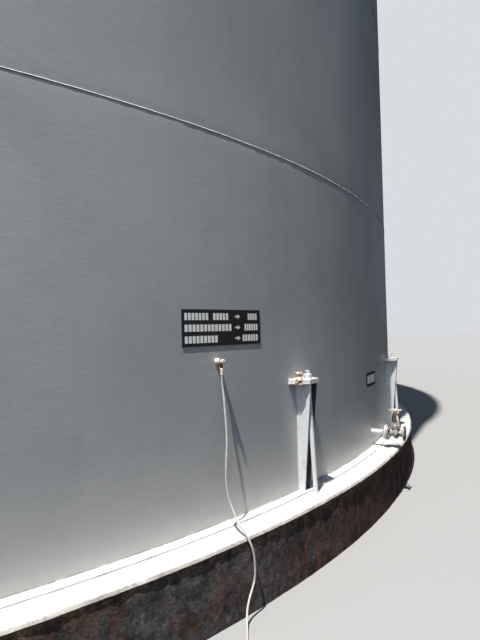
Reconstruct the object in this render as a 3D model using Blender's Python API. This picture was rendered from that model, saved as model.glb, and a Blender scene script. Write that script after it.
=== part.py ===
"""Vertical storage tank: a welded cylindrical shell on a concrete foundation, held down by anchor chairs.

Metres, +Z up, ground at z = 0, origin on the tank's axis. Bearings are in degrees, from -Y towards +X.
The shell and everything round it are turned in the same number of facets, and every anchor chair stands
in the middle of a facet.
"""

import math

import bmesh
import bpy
from mathutils import Matrix, Vector

# Shell
SHELL_RADIUS = 8.17
COURSE_HEIGHT = 2.40
COURSE_THICKNESSES = (0.010, 0.008, 0.008, 0.006, 0.006)
FACETS = 100

# Foundation and floor of the tank
FOUNDATION_HEIGHT = 0.44
FOUNDATION_LEDGE = 0.26
FOUNDATION_EDGE = 0.025
BOTTOM_THICKNESS = 0.008
BOTTOM_PROJECTION = 0.079

# Top of the tank
CURB_LEG = 0.075
CURB_THICKNESS = 0.008
ROOF_OVERLAP = 0.050
ROOF_RISE = 0.60
ROOF_THICKNESS = 0.006
VENT_PIPE_RADIUS = 0.137
VENT_PIPE_HEIGHT = 0.34
VENT_CAP_RADIUS = 0.27
VENT_CAP_SKIRT = 0.11
VENT_CAP_RISE = 0.07
VENT_CAP_THICKNESS = 0.006
VENT_SKIRT_THICKNESS = 0.004
HATCH_BEARING = 190.0
HATCH_DISTANCE = 6.60
HATCH_NECK_RADIUS = 0.305
HATCH_NECK_HEIGHT = 0.16
HATCH_FLANGE_RADIUS = 0.375
HATCH_FLANGE_THICKNESS = 0.014
HATCH_COVER_THICKNESS = 0.012
HATCH_GRIP_SPAN = 0.16
HATCH_GRIP_HEIGHT = 0.07
HATCH_GRIP_ROD = 0.008

# Anchor chairs
CHAIR_COUNT = 20
CHAIR_BEARING = 17.1
CHAIR_UNDERSIDE = 0.777
CHAIR_PLATE_THICKNESS = 0.034
CHAIR_PLATE_REACH = 0.138
CHAIR_PLATE_WALL_WIDTH = 0.272
CHAIR_PLATE_END_WIDTH = 0.124
GUSSET_THICKNESS = 0.012
GUSSET_FOOT_REACH = 0.056
GUSSET_WALL_SPREAD = 0.062
GUSSET_END_SPREAD = 0.090
ROD_RADIUS = 0.018
ROD_TOP_REACH = 0.084
ROD_FOOT_REACH = 0.126
ROD_END = 0.024
NUT_RADIUS = 0.0317
NUT_HEIGHT = 0.029
WASHER_RADIUS = 0.033
WASHER_THICKNESS = 0.005

# Clamp on the near edge of the first chair
CLAMP_CHAIR = 0
CLAMP_WIDTH = 0.052
CLAMP_REACH = 0.034
CLAMP_BACK = 0.012
CLAMP_JAW = 0.010
CLAMP_SCREW_RADIUS = 0.009
CLAMP_SCREW_HEIGHT = 0.044
CLAMP_HEAD_RADIUS = 0.024
CLAMP_HEAD_HEIGHT = 0.022

# Earthing point, its conductor and the lugs on the conductor's ends
BOSS_BEARING = 11.18
BOSS_HEIGHT = 1.426
BOSS_RADIUS = 0.016
BOSS_LENGTH = 0.034
LUG_THICKNESS = 0.005
LUG_WIDTH = 0.026
LUG_LENGTH = 0.046
LUG_OVERHANG = 0.015
LUG_BARREL_RADIUS = 0.009
LUG_BARREL_LENGTH = 0.035
LUG_HOLE_RADIUS = 0.0065
LUG_BOLT_RADIUS = 0.012
LUG_BOLT_HEAD = 0.026
CABLE_RADIUS = 0.00635
CABLE_SPACING = 0.030
CABLE_LEAD = 0.035
GROUND_CLEARANCE = 0.0005
CABLE_REST = CABLE_RADIUS + GROUND_CLEARANCE
LUG_REST = LUG_BARREL_RADIUS + GROUND_CLEARANCE

# Bearing, distance out from the shell and height of each point of the conductor's route below the straight
# lead out of its first lug
CABLE_ROUTE = (
    (11.19, 0.0440, 1.2700),
    (11.19, 0.0510, 1.2250),
    (11.16, 0.0600, 1.1800),
    (11.12, 0.0720, 1.1050),
    (11.10, 0.0820, 1.0250),
    (11.06, 0.0890, 0.9400),
    (10.98, 0.0925, 0.8450),
    (10.94, 0.0940, 0.7550),
    (10.96, 0.0960, 0.6850),
    (11.00, 0.1060, 0.6250),
    (11.02, 0.1280, 0.5750),
    (11.00, 0.1600, 0.5300),
    (10.97, 0.1980, 0.4920),
    (10.96, 0.2360, 0.4620),
    (11.01, 0.2610, 0.4248),
    (11.08, 0.2760, 0.3780),
    (11.14, 0.2810, 0.3200),
    (11.16, 0.2810, 0.2600),
    (11.13, 0.2800, 0.2100),
    (11.00, 0.2800, 0.1650),
    (10.82, 0.2830, 0.1250),
    (10.66, 0.2900, 0.0880),
    (10.52, 0.3020, 0.0540),
    (10.38, 0.3220, 0.0260),
    (10.20, 0.3490, 0.0110),
    (10.00, 0.3800, CABLE_REST),
    (9.80, 0.4115, 0.0080),
    (9.70, 0.4278, LUG_REST),
    (9.60, 0.4440, LUG_REST),
)

# Drain
DRAIN_BEARING = 27.98
DRAIN_HEIGHT = 0.585
PIPE_RADIUS = 0.0243
BORE_RADIUS = 0.0205
NOZZLE_LENGTH = 0.150
FLANGE_RADIUS = 0.070
FLANGE_THICKNESS = 0.016
FLANGE_FACE_RADIUS = 0.0405
FLANGE_FACE_RAISE = 0.002
WELD_TAPER = 0.010
VALVE_LENGTH = 0.170
VALVE_BARREL_RADIUS = 0.034
VALVE_SEAT_RADIUS = 0.044
VALVE_SEAT_LENGTH = 0.056
VALVE_NECK_RADIUS = 0.034
VALVE_NECK_FOOT = 0.025
VALVE_NECK_TOP = 0.062
OUTLET_DEPTH = 0.045
BONNET_RADIUS = 0.047
BONNET_FLANGE = 0.011
BONNET_SHOULDER = 0.092
BONNET_SHOULDER_RADIUS = 0.031
GLAND_RADIUS = 0.017
GLAND_TOP = 0.124
YOKE_SPREAD = 0.058
YOKE_ARM_WIDTH = 0.016
YOKE_ARM_THICKNESS = 0.009
YOKE_HEAD_RADIUS = 0.018
YOKE_HEAD_LOW = 0.168
YOKE_HEAD_TOP = 0.190
STEM_RADIUS = 0.007
STEM_CLEARANCE = 0.0005
STEM_ENTRY = 0.040
WHEEL_HEIGHT = 0.218
WHEEL_RADIUS = 0.054
WHEEL_RIM = 0.0065
WHEEL_DISH = 0.010
HUB_RADIUS = 0.014
HUB_HEIGHT = 0.022
SPOKES = 4
SPOKE_RADIUS = 0.0045

# Signs: one above the earthing point and one above the drain, which set where they are
SIGN_THICKNESS = 0.002
EARTH_SIGN_CLEARANCE = 0.078
EARTH_SIGN_DEPTH = 0.220
EARTH_SIGN_BEFORE = 1.86
EARTH_SIGN_AFTER = 2.80
DRAIN_SIGN_RISE = 0.448
DRAIN_SIGN_DEPTH = 0.134
DRAIN_SIGN_BEFORE = 1.13
DRAIN_SIGN_AFTER = 1.34

# Gap between pieces that touch, and how far joined shapes run into each other
GAP = 0.0003
BITE = 0.003

FACET_ANGLE = 360.0 / FACETS
CHAIR_PITCH = 360.0 / CHAIR_COUNT
FACET_PHASE = CHAIR_BEARING + FACET_ANGLE / 2
WALL_BASE = FOUNDATION_HEIGHT + BOTTOM_THICKNESS
SHELL_TOP = FOUNDATION_HEIGHT + COURSE_HEIGHT * len(COURSE_THICKNESSES)
ROOF_EDGE_RADIUS = SHELL_RADIUS + ROOF_OVERLAP
ROOF_EDGE_Z = SHELL_TOP + CURB_LEG + GAP
ROOF_SLOPE = math.atan2(ROOF_RISE, ROOF_EDGE_RADIUS)
CHAIR_PLATE_Z = FOUNDATION_HEIGHT + CHAIR_UNDERSIDE


def clear_scene():
    for thing in list(bpy.data.objects):
        bpy.data.objects.remove(thing, do_unlink=True)


def srgb(code):
    """Linear colour of a six-digit sRGB hex code."""
    shares = [int(code[i : i + 2], 16) / 255 for i in (0, 2, 4)]
    linear = [s / 12.92 if s <= 0.04045 else ((s + 0.055) / 1.055) ** 2.4 for s in shares]
    return (*linear, 1.0)


def finish(name, code, roughness, metallic=0.0):
    material = bpy.data.materials.new(name)
    material.use_nodes = True
    shader = material.node_tree.nodes["Principled BSDF"]
    shader.inputs["Base Color"].default_value = srgb(code)
    shader.inputs["Roughness"].default_value = roughness
    shader.inputs["Metallic"].default_value = metallic
    return material


def add_object(name, mesh, material):
    obj = bpy.data.objects.new(name, mesh)
    bpy.context.scene.collection.objects.link(obj)
    if material and not mesh.materials:
        mesh.materials.append(material)
    return obj


def mesh_from(bm, name, smooth=True):
    bmesh.ops.recalc_face_normals(bm, faces=bm.faces)
    mesh = bpy.data.meshes.new(name)
    bm.to_mesh(mesh)
    bm.free()
    if smooth:
        mesh.shade_smooth()
        mesh.set_sharp_from_angle(angle=math.radians(35))
    return mesh


def outward(bearing):
    """Unit vector that points away from the tank's axis at a bearing."""
    angle = math.radians(bearing)
    return Vector((math.sin(angle), -math.cos(angle), 0.0))


def facet_bearing(bearing):
    """Bearing that the shell's facet at a bearing faces."""
    return CHAIR_BEARING + FACET_ANGLE * round((bearing - CHAIR_BEARING) / FACET_ANGLE)


def wall_distance(bearing):
    """Distance from the axis to the faceted wall at a bearing."""
    off = math.radians(bearing - facet_bearing(bearing))
    return SHELL_RADIUS * math.cos(math.radians(FACET_ANGLE / 2)) / math.cos(off)


def turned_mesh(name, profile, segments, phase=0.0, closed=True):
    """Mesh turned about Z from (radius, height) points. A profile that isn't closed ends on the axis."""
    bm = bmesh.new()
    start = Matrix.Rotation(math.radians(phase), 4, "Z")
    points = [bm.verts.new(start @ Vector((radius, 0.0, z))) for radius, z in profile]
    ends = points[1:] + points[:1] if closed else points[1:]
    edges = [bm.edges.new(pair) for pair in zip(points, ends)]
    bmesh.ops.spin(
        bm,
        geom=points + edges,
        cent=(0, 0, 0),
        axis=(0, 0, 1),
        dvec=(0, 0, 0),
        angle=math.tau,
        steps=segments,
        use_merge=True,
    )
    bmesh.ops.remove_doubles(bm, verts=bm.verts, dist=0.00001)
    return mesh_from(bm, name)


def tank_ring(name, profile, material, closed=True):
    """A piece turned about the tank's axis in the shell's own facets."""
    mesh = turned_mesh(name, profile, FACETS, FACET_PHASE - 90.0, closed)
    return add_object(name, mesh, material)


def prism_mesh(name, lower, upper):
    """Closed mesh between two outlines with the same number of points."""
    bm = bmesh.new()
    low = [bm.verts.new(point) for point in lower]
    high = [bm.verts.new(point) for point in upper]
    bm.faces.new(low)
    bm.faces.new(high)
    count = len(low)
    for i in range(count):
        j = (i + 1) % count
        bm.faces.new((low[i], low[j], high[j], high[i]))
    return mesh_from(bm, name, smooth=False)


def rod_mesh(name, start, end, radius, sides):
    """Round or hexagonal bar between two points."""
    start = Vector(start)
    way = Vector(end) - start
    turn = way.to_track_quat("Z", "Y").to_matrix()
    rings = []
    for along in (Vector((0, 0, 0)), way):
        ring = []
        for i in range(sides):
            angle = math.tau * i / sides
            spoke = turn @ Vector((radius * math.cos(angle), radius * math.sin(angle), 0))
            ring.append(start + along + spoke)
        rings.append(ring)
    return prism_mesh(name, *rings)


def joined(name, meshes, cuts=()):
    """One closed mesh from shapes that run into each other, with the cuts taken out of it."""
    base = add_object(name, meshes[0], None)
    helpers = []
    steps = [("UNION", mesh) for mesh in meshes[1:]] + [("DIFFERENCE", mesh) for mesh in cuts]
    for i, (operation, mesh) in enumerate(steps):
        helper = add_object(f"{name}_{i}", mesh, None)
        helpers.append(helper)
        step = base.modifiers.new(f"step_{i}", "BOOLEAN")
        step.operation = operation
        step.object = helper
    graph = bpy.context.evaluated_depsgraph_get()
    result = bpy.data.meshes.new_from_object(base.evaluated_get(graph))
    for helper in helpers:
        bpy.data.objects.remove(helper, do_unlink=True)
    bpy.data.objects.remove(base, do_unlink=True)
    result.name = name
    result.shade_smooth()
    result.set_sharp_from_angle(angle=math.radians(35))
    return result


def on_wall(obj, bearing, height, out=0.0):
    """Stands a piece square to the shell: its local X points outwards from a point on the wall."""
    square = facet_bearing(bearing)
    obj.location = outward(bearing) * wall_distance(bearing) + outward(square) * out
    obj.location.z = height
    obj.rotation_euler = (0, 0, math.radians(square - 90))


def foundation():
    outer = SHELL_RADIUS + FOUNDATION_LEDGE
    profile = (
        (0.0, FOUNDATION_HEIGHT),
        (outer - FOUNDATION_EDGE, FOUNDATION_HEIGHT),
        (outer, FOUNDATION_HEIGHT - FOUNDATION_EDGE),
        (outer, 0.0),
        (0.0, 0.0),
    )
    tank_ring("foundation", profile, finish("concrete", "8F8A83", 0.92), closed=False)


def bottom_plate(paint):
    outer = SHELL_RADIUS + BOTTOM_PROJECTION
    profile = (
        (0.0, WALL_BASE),
        (outer, WALL_BASE),
        (outer, FOUNDATION_HEIGHT + GAP),
        (0.0, FOUNDATION_HEIGHT + GAP),
    )
    tank_ring("bottom_plate", profile, paint, closed=False)


def shell_courses(paint):
    for i, thickness in enumerate(COURSE_THICKNESSES):
        low = FOUNDATION_HEIGHT + COURSE_HEIGHT * i
        bottom = (WALL_BASE if i == 0 else low) + GAP
        top = low + COURSE_HEIGHT
        inner = SHELL_RADIUS - thickness
        profile = ((SHELL_RADIUS, top), (SHELL_RADIUS, bottom), (inner, bottom), (inner, top))
        tank_ring(f"shell_course_{i + 1}", profile, paint)


def curb_angle(paint):
    """Rolled angle welded on top of the shell, with its flat leg outwards under the roof plates."""
    low = SHELL_TOP + GAP
    high = SHELL_TOP + CURB_LEG
    profile = (
        (SHELL_RADIUS + CURB_LEG - CURB_THICKNESS, high),
        (SHELL_RADIUS + CURB_LEG - CURB_THICKNESS, high - CURB_THICKNESS),
        (SHELL_RADIUS, high - CURB_THICKNESS),
        (SHELL_RADIUS, low),
        (SHELL_RADIUS - CURB_THICKNESS, low),
        (SHELL_RADIUS - CURB_THICKNESS, high),
    )
    tank_ring("curb_angle", profile, paint)


def roof(paint):
    profile = (
        (0.0, ROOF_EDGE_Z + ROOF_THICKNESS + ROOF_RISE),
        (ROOF_EDGE_RADIUS, ROOF_EDGE_Z + ROOF_THICKNESS),
        (ROOF_EDGE_RADIUS, ROOF_EDGE_Z),
        (0.0, ROOF_EDGE_Z + ROOF_RISE),
    )
    tank_ring("roof", profile, paint, closed=False)


def roof_vent(paint):
    peak = ROOF_EDGE_Z + ROOF_THICKNESS + ROOF_RISE + GAP
    foot_drop = VENT_PIPE_RADIUS * math.tan(ROOF_SLOPE)
    pipe_top = peak + VENT_PIPE_HEIGHT
    profile = (
        (0.0, pipe_top + VENT_CAP_RISE),
        (VENT_CAP_RADIUS, pipe_top),
        (VENT_CAP_RADIUS, pipe_top - VENT_CAP_SKIRT),
        (VENT_CAP_RADIUS - VENT_SKIRT_THICKNESS, pipe_top - VENT_CAP_SKIRT),
        (VENT_CAP_RADIUS - VENT_SKIRT_THICKNESS, pipe_top - VENT_CAP_THICKNESS),
        (VENT_PIPE_RADIUS, pipe_top - VENT_CAP_THICKNESS),
        (VENT_PIPE_RADIUS, peak - foot_drop),
        (0.0, peak),
    )
    mesh = turned_mesh("roof_vent", profile, 24, closed=False)
    add_object("roof_vent", mesh, paint)


def roof_hatch(paint):
    """Round manway on the roof, square to the roof plates, with a bolted cover and a grip."""
    flange_top = HATCH_NECK_HEIGHT + HATCH_FLANGE_THICKNESS
    cover_top = flange_top + HATCH_COVER_THICKNESS
    profile = (
        (0.0, cover_top),
        (HATCH_FLANGE_RADIUS, cover_top),
        (HATCH_FLANGE_RADIUS, HATCH_NECK_HEIGHT),
        (HATCH_NECK_RADIUS, HATCH_NECK_HEIGHT),
        (HATCH_NECK_RADIUS, GAP),
        (0.0, GAP),
    )
    neck = turned_mesh("hatch_neck", profile, 32, closed=False)
    half = HATCH_GRIP_SPAN / 2
    grip_top = cover_top + HATCH_GRIP_HEIGHT
    legs = [
        rod_mesh("grip_leg", (0, side, cover_top - BITE), (0, side, grip_top), HATCH_GRIP_ROD, 8)
        for side in (-half, half)
    ]
    overrun = half + HATCH_GRIP_ROD
    bar_height = grip_top - HATCH_GRIP_ROD / 2
    bar = rod_mesh("grip_bar", (0, -overrun, bar_height), (0, overrun, bar_height), HATCH_GRIP_ROD, 8)
    mesh = joined("roof_hatch", [neck, *legs, bar])
    hatch = add_object("roof_hatch", mesh, paint)
    drop = HATCH_DISTANCE * math.tan(ROOF_SLOPE)
    roof_top = ROOF_EDGE_Z + ROOF_THICKNESS + ROOF_RISE
    hatch.location = outward(HATCH_BEARING) * HATCH_DISTANCE + Vector((0, 0, roof_top - drop))
    turn = Matrix.Rotation(math.radians(HATCH_BEARING - 90), 4, "Z")
    tilt = Matrix.Rotation(ROOF_SLOPE, 4, "Y")
    hatch.rotation_euler = (turn @ tilt).to_euler()


def gusset_mesh(side):
    """One side plate of a chair, narrower at its foot and splayed outwards."""
    top = CHAIR_PLATE_Z + BITE
    foot = WALL_BASE + GAP
    reach = CHAIR_PLATE_REACH - BITE

    def face(inset):
        def corner(x, z):
            share = x / CHAIR_PLATE_REACH
            spread = GUSSET_WALL_SPREAD + (GUSSET_END_SPREAD - GUSSET_WALL_SPREAD) * share
            return (x, side * (spread / 2 - inset), z)

        return [corner(GAP, top), corner(reach, top), corner(GUSSET_FOOT_REACH, foot), corner(GAP, foot)]

    return prism_mesh("gusset", face(0.0), face(GUSSET_THICKNESS))


def chair_mesh():
    """Anchor chair in its own place: X outwards from the wall, Z from the ground."""
    wall_half = CHAIR_PLATE_WALL_WIDTH / 2
    end_half = CHAIR_PLATE_END_WIDTH / 2
    reach = CHAIR_PLATE_REACH
    outline = ((GAP, -wall_half), (reach, -end_half), (reach, end_half), (GAP, wall_half))
    plate_top = CHAIR_PLATE_Z + CHAIR_PLATE_THICKNESS
    plate = prism_mesh(
        "chair_plate",
        [(x, y, CHAIR_PLATE_Z) for x, y in outline],
        [(x, y, plate_top) for x, y in outline],
    )
    foot = Vector((ROD_FOOT_REACH, 0, FOUNDATION_HEIGHT + GAP))
    head = Vector((ROD_TOP_REACH, 0, plate_top))
    way = (head - foot).normalized()
    nut_base = head - way * BITE
    washer_top = head + way * WASHER_THICKNESS
    nut_top = washer_top + way * NUT_HEIGHT
    rod = rod_mesh("anchor_rod", foot, nut_top + way * ROD_END, ROD_RADIUS, 12)
    level = Vector((foot.x, 0, foot.z))
    for vertex in rod.vertices:
        if vertex.co.z < level.z + ROD_RADIUS:
            vertex.co.z = level.z
    washer = rod_mesh("washer", nut_base, washer_top, WASHER_RADIUS, 16)
    nut = rod_mesh("nut", nut_base, nut_top, NUT_RADIUS, 6)
    return joined("anchor_chair", [plate, gusset_mesh(-1), gusset_mesh(1), rod, washer, nut])


def anchor_chairs(paint):
    mesh = chair_mesh()
    for i in range(CHAIR_COUNT):
        chair = add_object(f"anchor_chair_{i + 1:02d}", mesh, paint)
        on_wall(chair, CHAIR_BEARING + CHAIR_PITCH * i, 0.0)


def edge_clamp(steel):
    """Screw clamp that grips a chair's top plate in the middle of its slanting edge."""
    top = CHAIR_PLATE_THICKNESS + GAP
    outline = (
        (-CLAMP_REACH, top + CLAMP_JAW),
        (CLAMP_BACK, top + CLAMP_JAW),
        (CLAMP_BACK, -CLAMP_JAW),
        (-CLAMP_REACH, -CLAMP_JAW),
        (-CLAMP_REACH, -GAP),
        (GAP, -GAP),
        (GAP, top),
        (-CLAMP_REACH, top),
    )
    sides = [[(x, side * CLAMP_WIDTH / 2, z) for x, z in outline] for side in (-1, 1)]
    hook = prism_mesh("clamp_hook", *sides)
    middle = -CLAMP_REACH / 2
    jaw_top = top + CLAMP_JAW
    screw_top = jaw_top + CLAMP_SCREW_HEIGHT
    screw_ends = ((middle, 0, jaw_top - BITE), (middle, 0, screw_top))
    screw = rod_mesh("clamp_screw", *screw_ends, CLAMP_SCREW_RADIUS, 8)
    head_low = screw_top - CLAMP_HEAD_HEIGHT
    head = rod_mesh("clamp_head", (middle, 0, head_low), (middle, 0, screw_top + BITE), CLAMP_HEAD_RADIUS, 6)
    mesh = joined("edge_clamp", [hook, screw, head])
    run = Vector((CHAIR_PLATE_REACH, (CHAIR_PLATE_WALL_WIDTH - CHAIR_PLATE_END_WIDTH) / 2, 0))
    corner = Vector((0, -CHAIR_PLATE_WALL_WIDTH / 2, 0))
    turn = Matrix.Rotation(math.atan2(run.y, run.x) - math.radians(90), 4, "Z")
    mesh.transform(Matrix.Translation(corner + run / 2) @ turn)
    clamp = add_object("edge_clamp", mesh, steel)
    on_wall(clamp, CHAIR_BEARING + CHAIR_PITCH * CLAMP_CHAIR, CHAIR_PLATE_Z)


def earth_boss(steel):
    boss = rod_mesh("earth_boss", (GAP, 0, 0), (BOSS_LENGTH, 0, 0), BOSS_RADIUS, 16)
    on_wall(add_object("earth_boss", boss, steel), BOSS_BEARING, BOSS_HEIGHT)


def lug_shapes():
    """Palm and barrel of a crimped cable lug. The palm's back lies on X = 0, and the barrel points down."""
    half = LUG_WIDTH / 2
    corners = ((-half, LUG_OVERHANG), (half, LUG_OVERHANG), (half, -LUG_LENGTH), (-half, -LUG_LENGTH))
    palm = prism_mesh("palm", [(0, y, z) for y, z in corners], [(LUG_THICKNESS, y, z) for y, z in corners])
    top = (LUG_BARREL_RADIUS, 0, -LUG_LENGTH + BITE)
    mouth = (LUG_BARREL_RADIUS, 0, -LUG_LENGTH - LUG_BARREL_LENGTH)
    return [palm, rod_mesh("barrel", top, mouth, LUG_BARREL_RADIUS, 12)]


def earth_lug(steel):
    """The lug that is bolted to the boss."""
    half = LUG_THICKNESS / 2
    bolt = rod_mesh("bolt", (half, 0, 0), (LUG_THICKNESS + LUG_BOLT_HEAD, 0, 0), LUG_BOLT_RADIUS, 6)
    mesh = joined("earth_lug", [*lug_shapes(), bolt])
    on_wall(add_object("earth_lug", mesh, steel), BOSS_BEARING, BOSS_HEIGHT, BOSS_LENGTH + GAP)


def end_lug(steel, cable_end, way):
    """The lug on the conductor's other end, which lies on the ground."""
    hole = rod_mesh("hole", (-BITE, 0, 0), (LUG_THICKNESS + BITE, 0, 0), LUG_HOLE_RADIUS, 12)
    mesh = joined("end_lug", lug_shapes(), cuts=[hole])
    lug = add_object("end_lug", mesh, steel)
    up = Vector((0, 0, 1))
    turn = Matrix((up, way.cross(up), way)).transposed().to_4x4()
    place = cable_end + way * (LUG_LENGTH + LUG_BARREL_LENGTH + GAP) - up * LUG_BARREL_RADIUS
    lug.matrix_world = Matrix.Translation(place) @ turn


def smooth_route(points, spacing):
    """Points at an even spacing along a smooth curve through the given ones."""
    ends = [points[0] * 2 - points[1], *points, points[-1] * 2 - points[-2]]
    fine = []
    for a, b, c, d in zip(ends, ends[1:], ends[2:], ends[3:]):
        for step in range(16):
            t = step / 16
            bend = (a * 2 - b * 5 + c * 4 - d) * t * t + (b * 3 - a - c * 3 + d) * t * t * t
            fine.append((b * 2 + (c - a) * t + bend) / 2)
    fine.append(points[-1])
    total = sum((q - p).length for p, q in zip(fine, fine[1:]))
    count = max(2, round(total / spacing))
    even = [fine[0]]
    travelled = 0.0
    for p, q in zip(fine, fine[1:]):
        piece = (q - p).length
        while len(even) < count and travelled + piece >= total * len(even) / count:
            share = (total * len(even) / count - travelled) / piece
            even.append(p.lerp(q, share))
        travelled += piece
    even.append(fine[-1])
    return even


def cable_points():
    """The conductor's own points, from the mouth of the first lug's barrel to the end on the ground."""
    wall = outward(BOSS_BEARING) * wall_distance(BOSS_BEARING)
    start = wall + outward(facet_bearing(BOSS_BEARING)) * (BOSS_LENGTH + GAP + LUG_BARREL_RADIUS)
    start.z = BOSS_HEIGHT - LUG_LENGTH - LUG_BARREL_LENGTH - GAP
    lead = start - Vector((0, 0, CABLE_LEAD))
    rest = [outward(bearing) * (SHELL_RADIUS + out) + Vector((0, 0, z)) for bearing, out, z in CABLE_ROUTE]
    return [start, lead, *rest]


def earth_cable(sheath, points):
    route = smooth_route(points, CABLE_SPACING)
    curve = bpy.data.curves.new("earth_cable", "CURVE")
    curve.dimensions = "3D"
    curve.bevel_depth = CABLE_RADIUS
    curve.bevel_resolution = 2
    curve.use_fill_caps = True
    spline = curve.splines.new("POLY")
    spline.points.add(len(route) - 1)
    for point, place in zip(spline.points, route):
        point.co = (*place, 1.0)
    curve.materials.append(sheath)
    obj = bpy.data.objects.new("earth_cable", curve)
    bpy.context.scene.collection.objects.link(obj)


def wall_sign(name, first, last, low, high, material):
    """Thin plate that follows the wall's facets from one bearing to another."""
    cuts = [first]
    edge = CHAIR_BEARING + FACET_ANGLE / 2
    edge -= math.ceil((edge - first) / FACET_ANGLE) * FACET_ANGLE
    while edge < last:
        if edge > first:
            cuts.append(edge)
        edge += FACET_ANGLE
    cuts.append(last)
    inner = [outward(b) * (wall_distance(b) + GAP) for b in cuts]
    outer = [outward(b) * (wall_distance(b) + GAP + SIGN_THICKNESS) for b in cuts]
    outline = [*inner, *reversed(outer)]
    lower = [point + Vector((0, 0, low)) for point in outline]
    upper = [point + Vector((0, 0, high)) for point in outline]
    add_object(name, prism_mesh(name, lower, upper), material)


def signs(plate):
    over_boss = BOSS_HEIGHT + BOSS_RADIUS + EARTH_SIGN_CLEARANCE
    boss_span = (BOSS_BEARING - EARTH_SIGN_BEFORE, BOSS_BEARING + EARTH_SIGN_AFTER)
    wall_sign("earth_sign", *boss_span, over_boss, over_boss + EARTH_SIGN_DEPTH, plate)
    over_drain = DRAIN_HEIGHT + DRAIN_SIGN_RISE
    drain_span = (DRAIN_BEARING - DRAIN_SIGN_BEFORE, DRAIN_BEARING + DRAIN_SIGN_AFTER)
    wall_sign("drain_sign", *drain_span, over_drain, over_drain + DRAIN_SIGN_DEPTH, plate)


def laid_outwards(mesh):
    """Turns a mesh that was turned about Z so that its axis runs along X."""
    mesh.transform(Matrix.Rotation(math.radians(90), 4, "Y"))
    return mesh


def drain_nozzle(paint):
    """Pipe stub on the shell with a slip-on flange."""
    face = NOZZLE_LENGTH
    profile = (
        (0.0, GAP),
        (PIPE_RADIUS, GAP),
        (PIPE_RADIUS, face - FLANGE_THICKNESS - WELD_TAPER),
        (PIPE_RADIUS + WELD_TAPER, face - FLANGE_THICKNESS),
        (FLANGE_RADIUS, face - FLANGE_THICKNESS),
        (FLANGE_RADIUS, face - FLANGE_FACE_RAISE),
        (FLANGE_FACE_RADIUS, face - FLANGE_FACE_RAISE),
        (FLANGE_FACE_RADIUS, face),
        (0.0, face),
    )
    mesh = laid_outwards(turned_mesh("drain_nozzle", profile, 32, closed=False))
    on_wall(add_object("drain_nozzle", mesh, paint), DRAIN_BEARING, DRAIN_HEIGHT)


def valve_body(iron):
    """Flanged gate valve body with an upright neck and its outlet bore open as far as the gate."""
    near = NOZZLE_LENGTH + GAP
    far = near + VALVE_LENGTH
    middle = (near + far) / 2
    seat = VALVE_SEAT_LENGTH / 2
    profile = (
        (0.0, near),
        (FLANGE_FACE_RADIUS, near),
        (FLANGE_FACE_RADIUS, near + FLANGE_FACE_RAISE),
        (FLANGE_RADIUS, near + FLANGE_FACE_RAISE),
        (FLANGE_RADIUS, near + FLANGE_THICKNESS),
        (VALVE_BARREL_RADIUS, near + FLANGE_THICKNESS),
        (VALVE_BARREL_RADIUS, middle - seat),
        (VALVE_SEAT_RADIUS, middle - seat + WELD_TAPER),
        (VALVE_SEAT_RADIUS, middle + seat - WELD_TAPER),
        (VALVE_BARREL_RADIUS, middle + seat),
        (VALVE_BARREL_RADIUS, far - FLANGE_THICKNESS),
        (FLANGE_RADIUS, far - FLANGE_THICKNESS),
        (FLANGE_RADIUS, far - FLANGE_FACE_RAISE),
        (FLANGE_FACE_RADIUS, far - FLANGE_FACE_RAISE),
        (FLANGE_FACE_RADIUS, far),
        (BORE_RADIUS, far),
        (BORE_RADIUS, far - OUTLET_DEPTH),
        (0.0, far - OUTLET_DEPTH),
    )
    barrel = laid_outwards(turned_mesh("valve_barrel", profile, 32, closed=False))
    neck_profile = (
        (BONNET_RADIUS, VALVE_NECK_TOP),
        (BONNET_RADIUS, VALVE_NECK_TOP - BONNET_FLANGE),
        (VALVE_NECK_RADIUS, VALVE_NECK_TOP - BONNET_FLANGE),
        (VALVE_NECK_RADIUS, VALVE_NECK_FOOT),
        (0.0, VALVE_NECK_FOOT),
    )
    well_profile = (
        (0.0, VALVE_NECK_TOP + BITE),
        (STEM_RADIUS + STEM_CLEARANCE, VALVE_NECK_TOP + BITE),
        (STEM_RADIUS + STEM_CLEARANCE, STEM_ENTRY - BITE),
        (0.0, STEM_ENTRY - BITE),
    )
    neck = turned_mesh("valve_neck", ((0.0, VALVE_NECK_TOP), *neck_profile), 24, closed=False)
    well = turned_mesh("valve_well", well_profile, 12, closed=False)
    for shape in (neck, well):
        shape.transform(Matrix.Translation((middle, 0, 0)))
    mesh = joined("valve_body", [barrel, neck], cuts=[well])
    on_wall(add_object("valve_body", mesh, iron), DRAIN_BEARING, DRAIN_HEIGHT)


def valve_middle():
    return NOZZLE_LENGTH + GAP + VALVE_LENGTH / 2


def yoke_arm(side):
    """Flat arm that rises from the bonnet's shoulder and bends in to the yoke's head."""
    foot = BONNET_SHOULDER_RADIUS - YOKE_ARM_THICKNESS
    bow = YOKE_SPREAD / 2
    knee = (BONNET_SHOULDER + YOKE_HEAD_LOW) / 2
    inside = YOKE_HEAD_RADIUS - BITE * 2
    outline = (
        (foot + YOKE_ARM_THICKNESS - BITE, BONNET_SHOULDER - BITE * 2),
        (bow + YOKE_ARM_THICKNESS, knee),
        (bow, YOKE_HEAD_TOP - BITE),
        (inside, YOKE_HEAD_TOP - BITE),
        (inside, YOKE_HEAD_LOW + BITE),
        (bow - YOKE_ARM_THICKNESS, YOKE_HEAD_LOW + BITE),
        (bow, knee),
        (foot - BITE, BONNET_SHOULDER - BITE * 2),
    )
    half = YOKE_ARM_WIDTH / 2
    sides = [[(side * x, y, z) for x, z in outline] for y in (-half, half)]
    return prism_mesh("yoke_arm", *sides)


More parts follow.
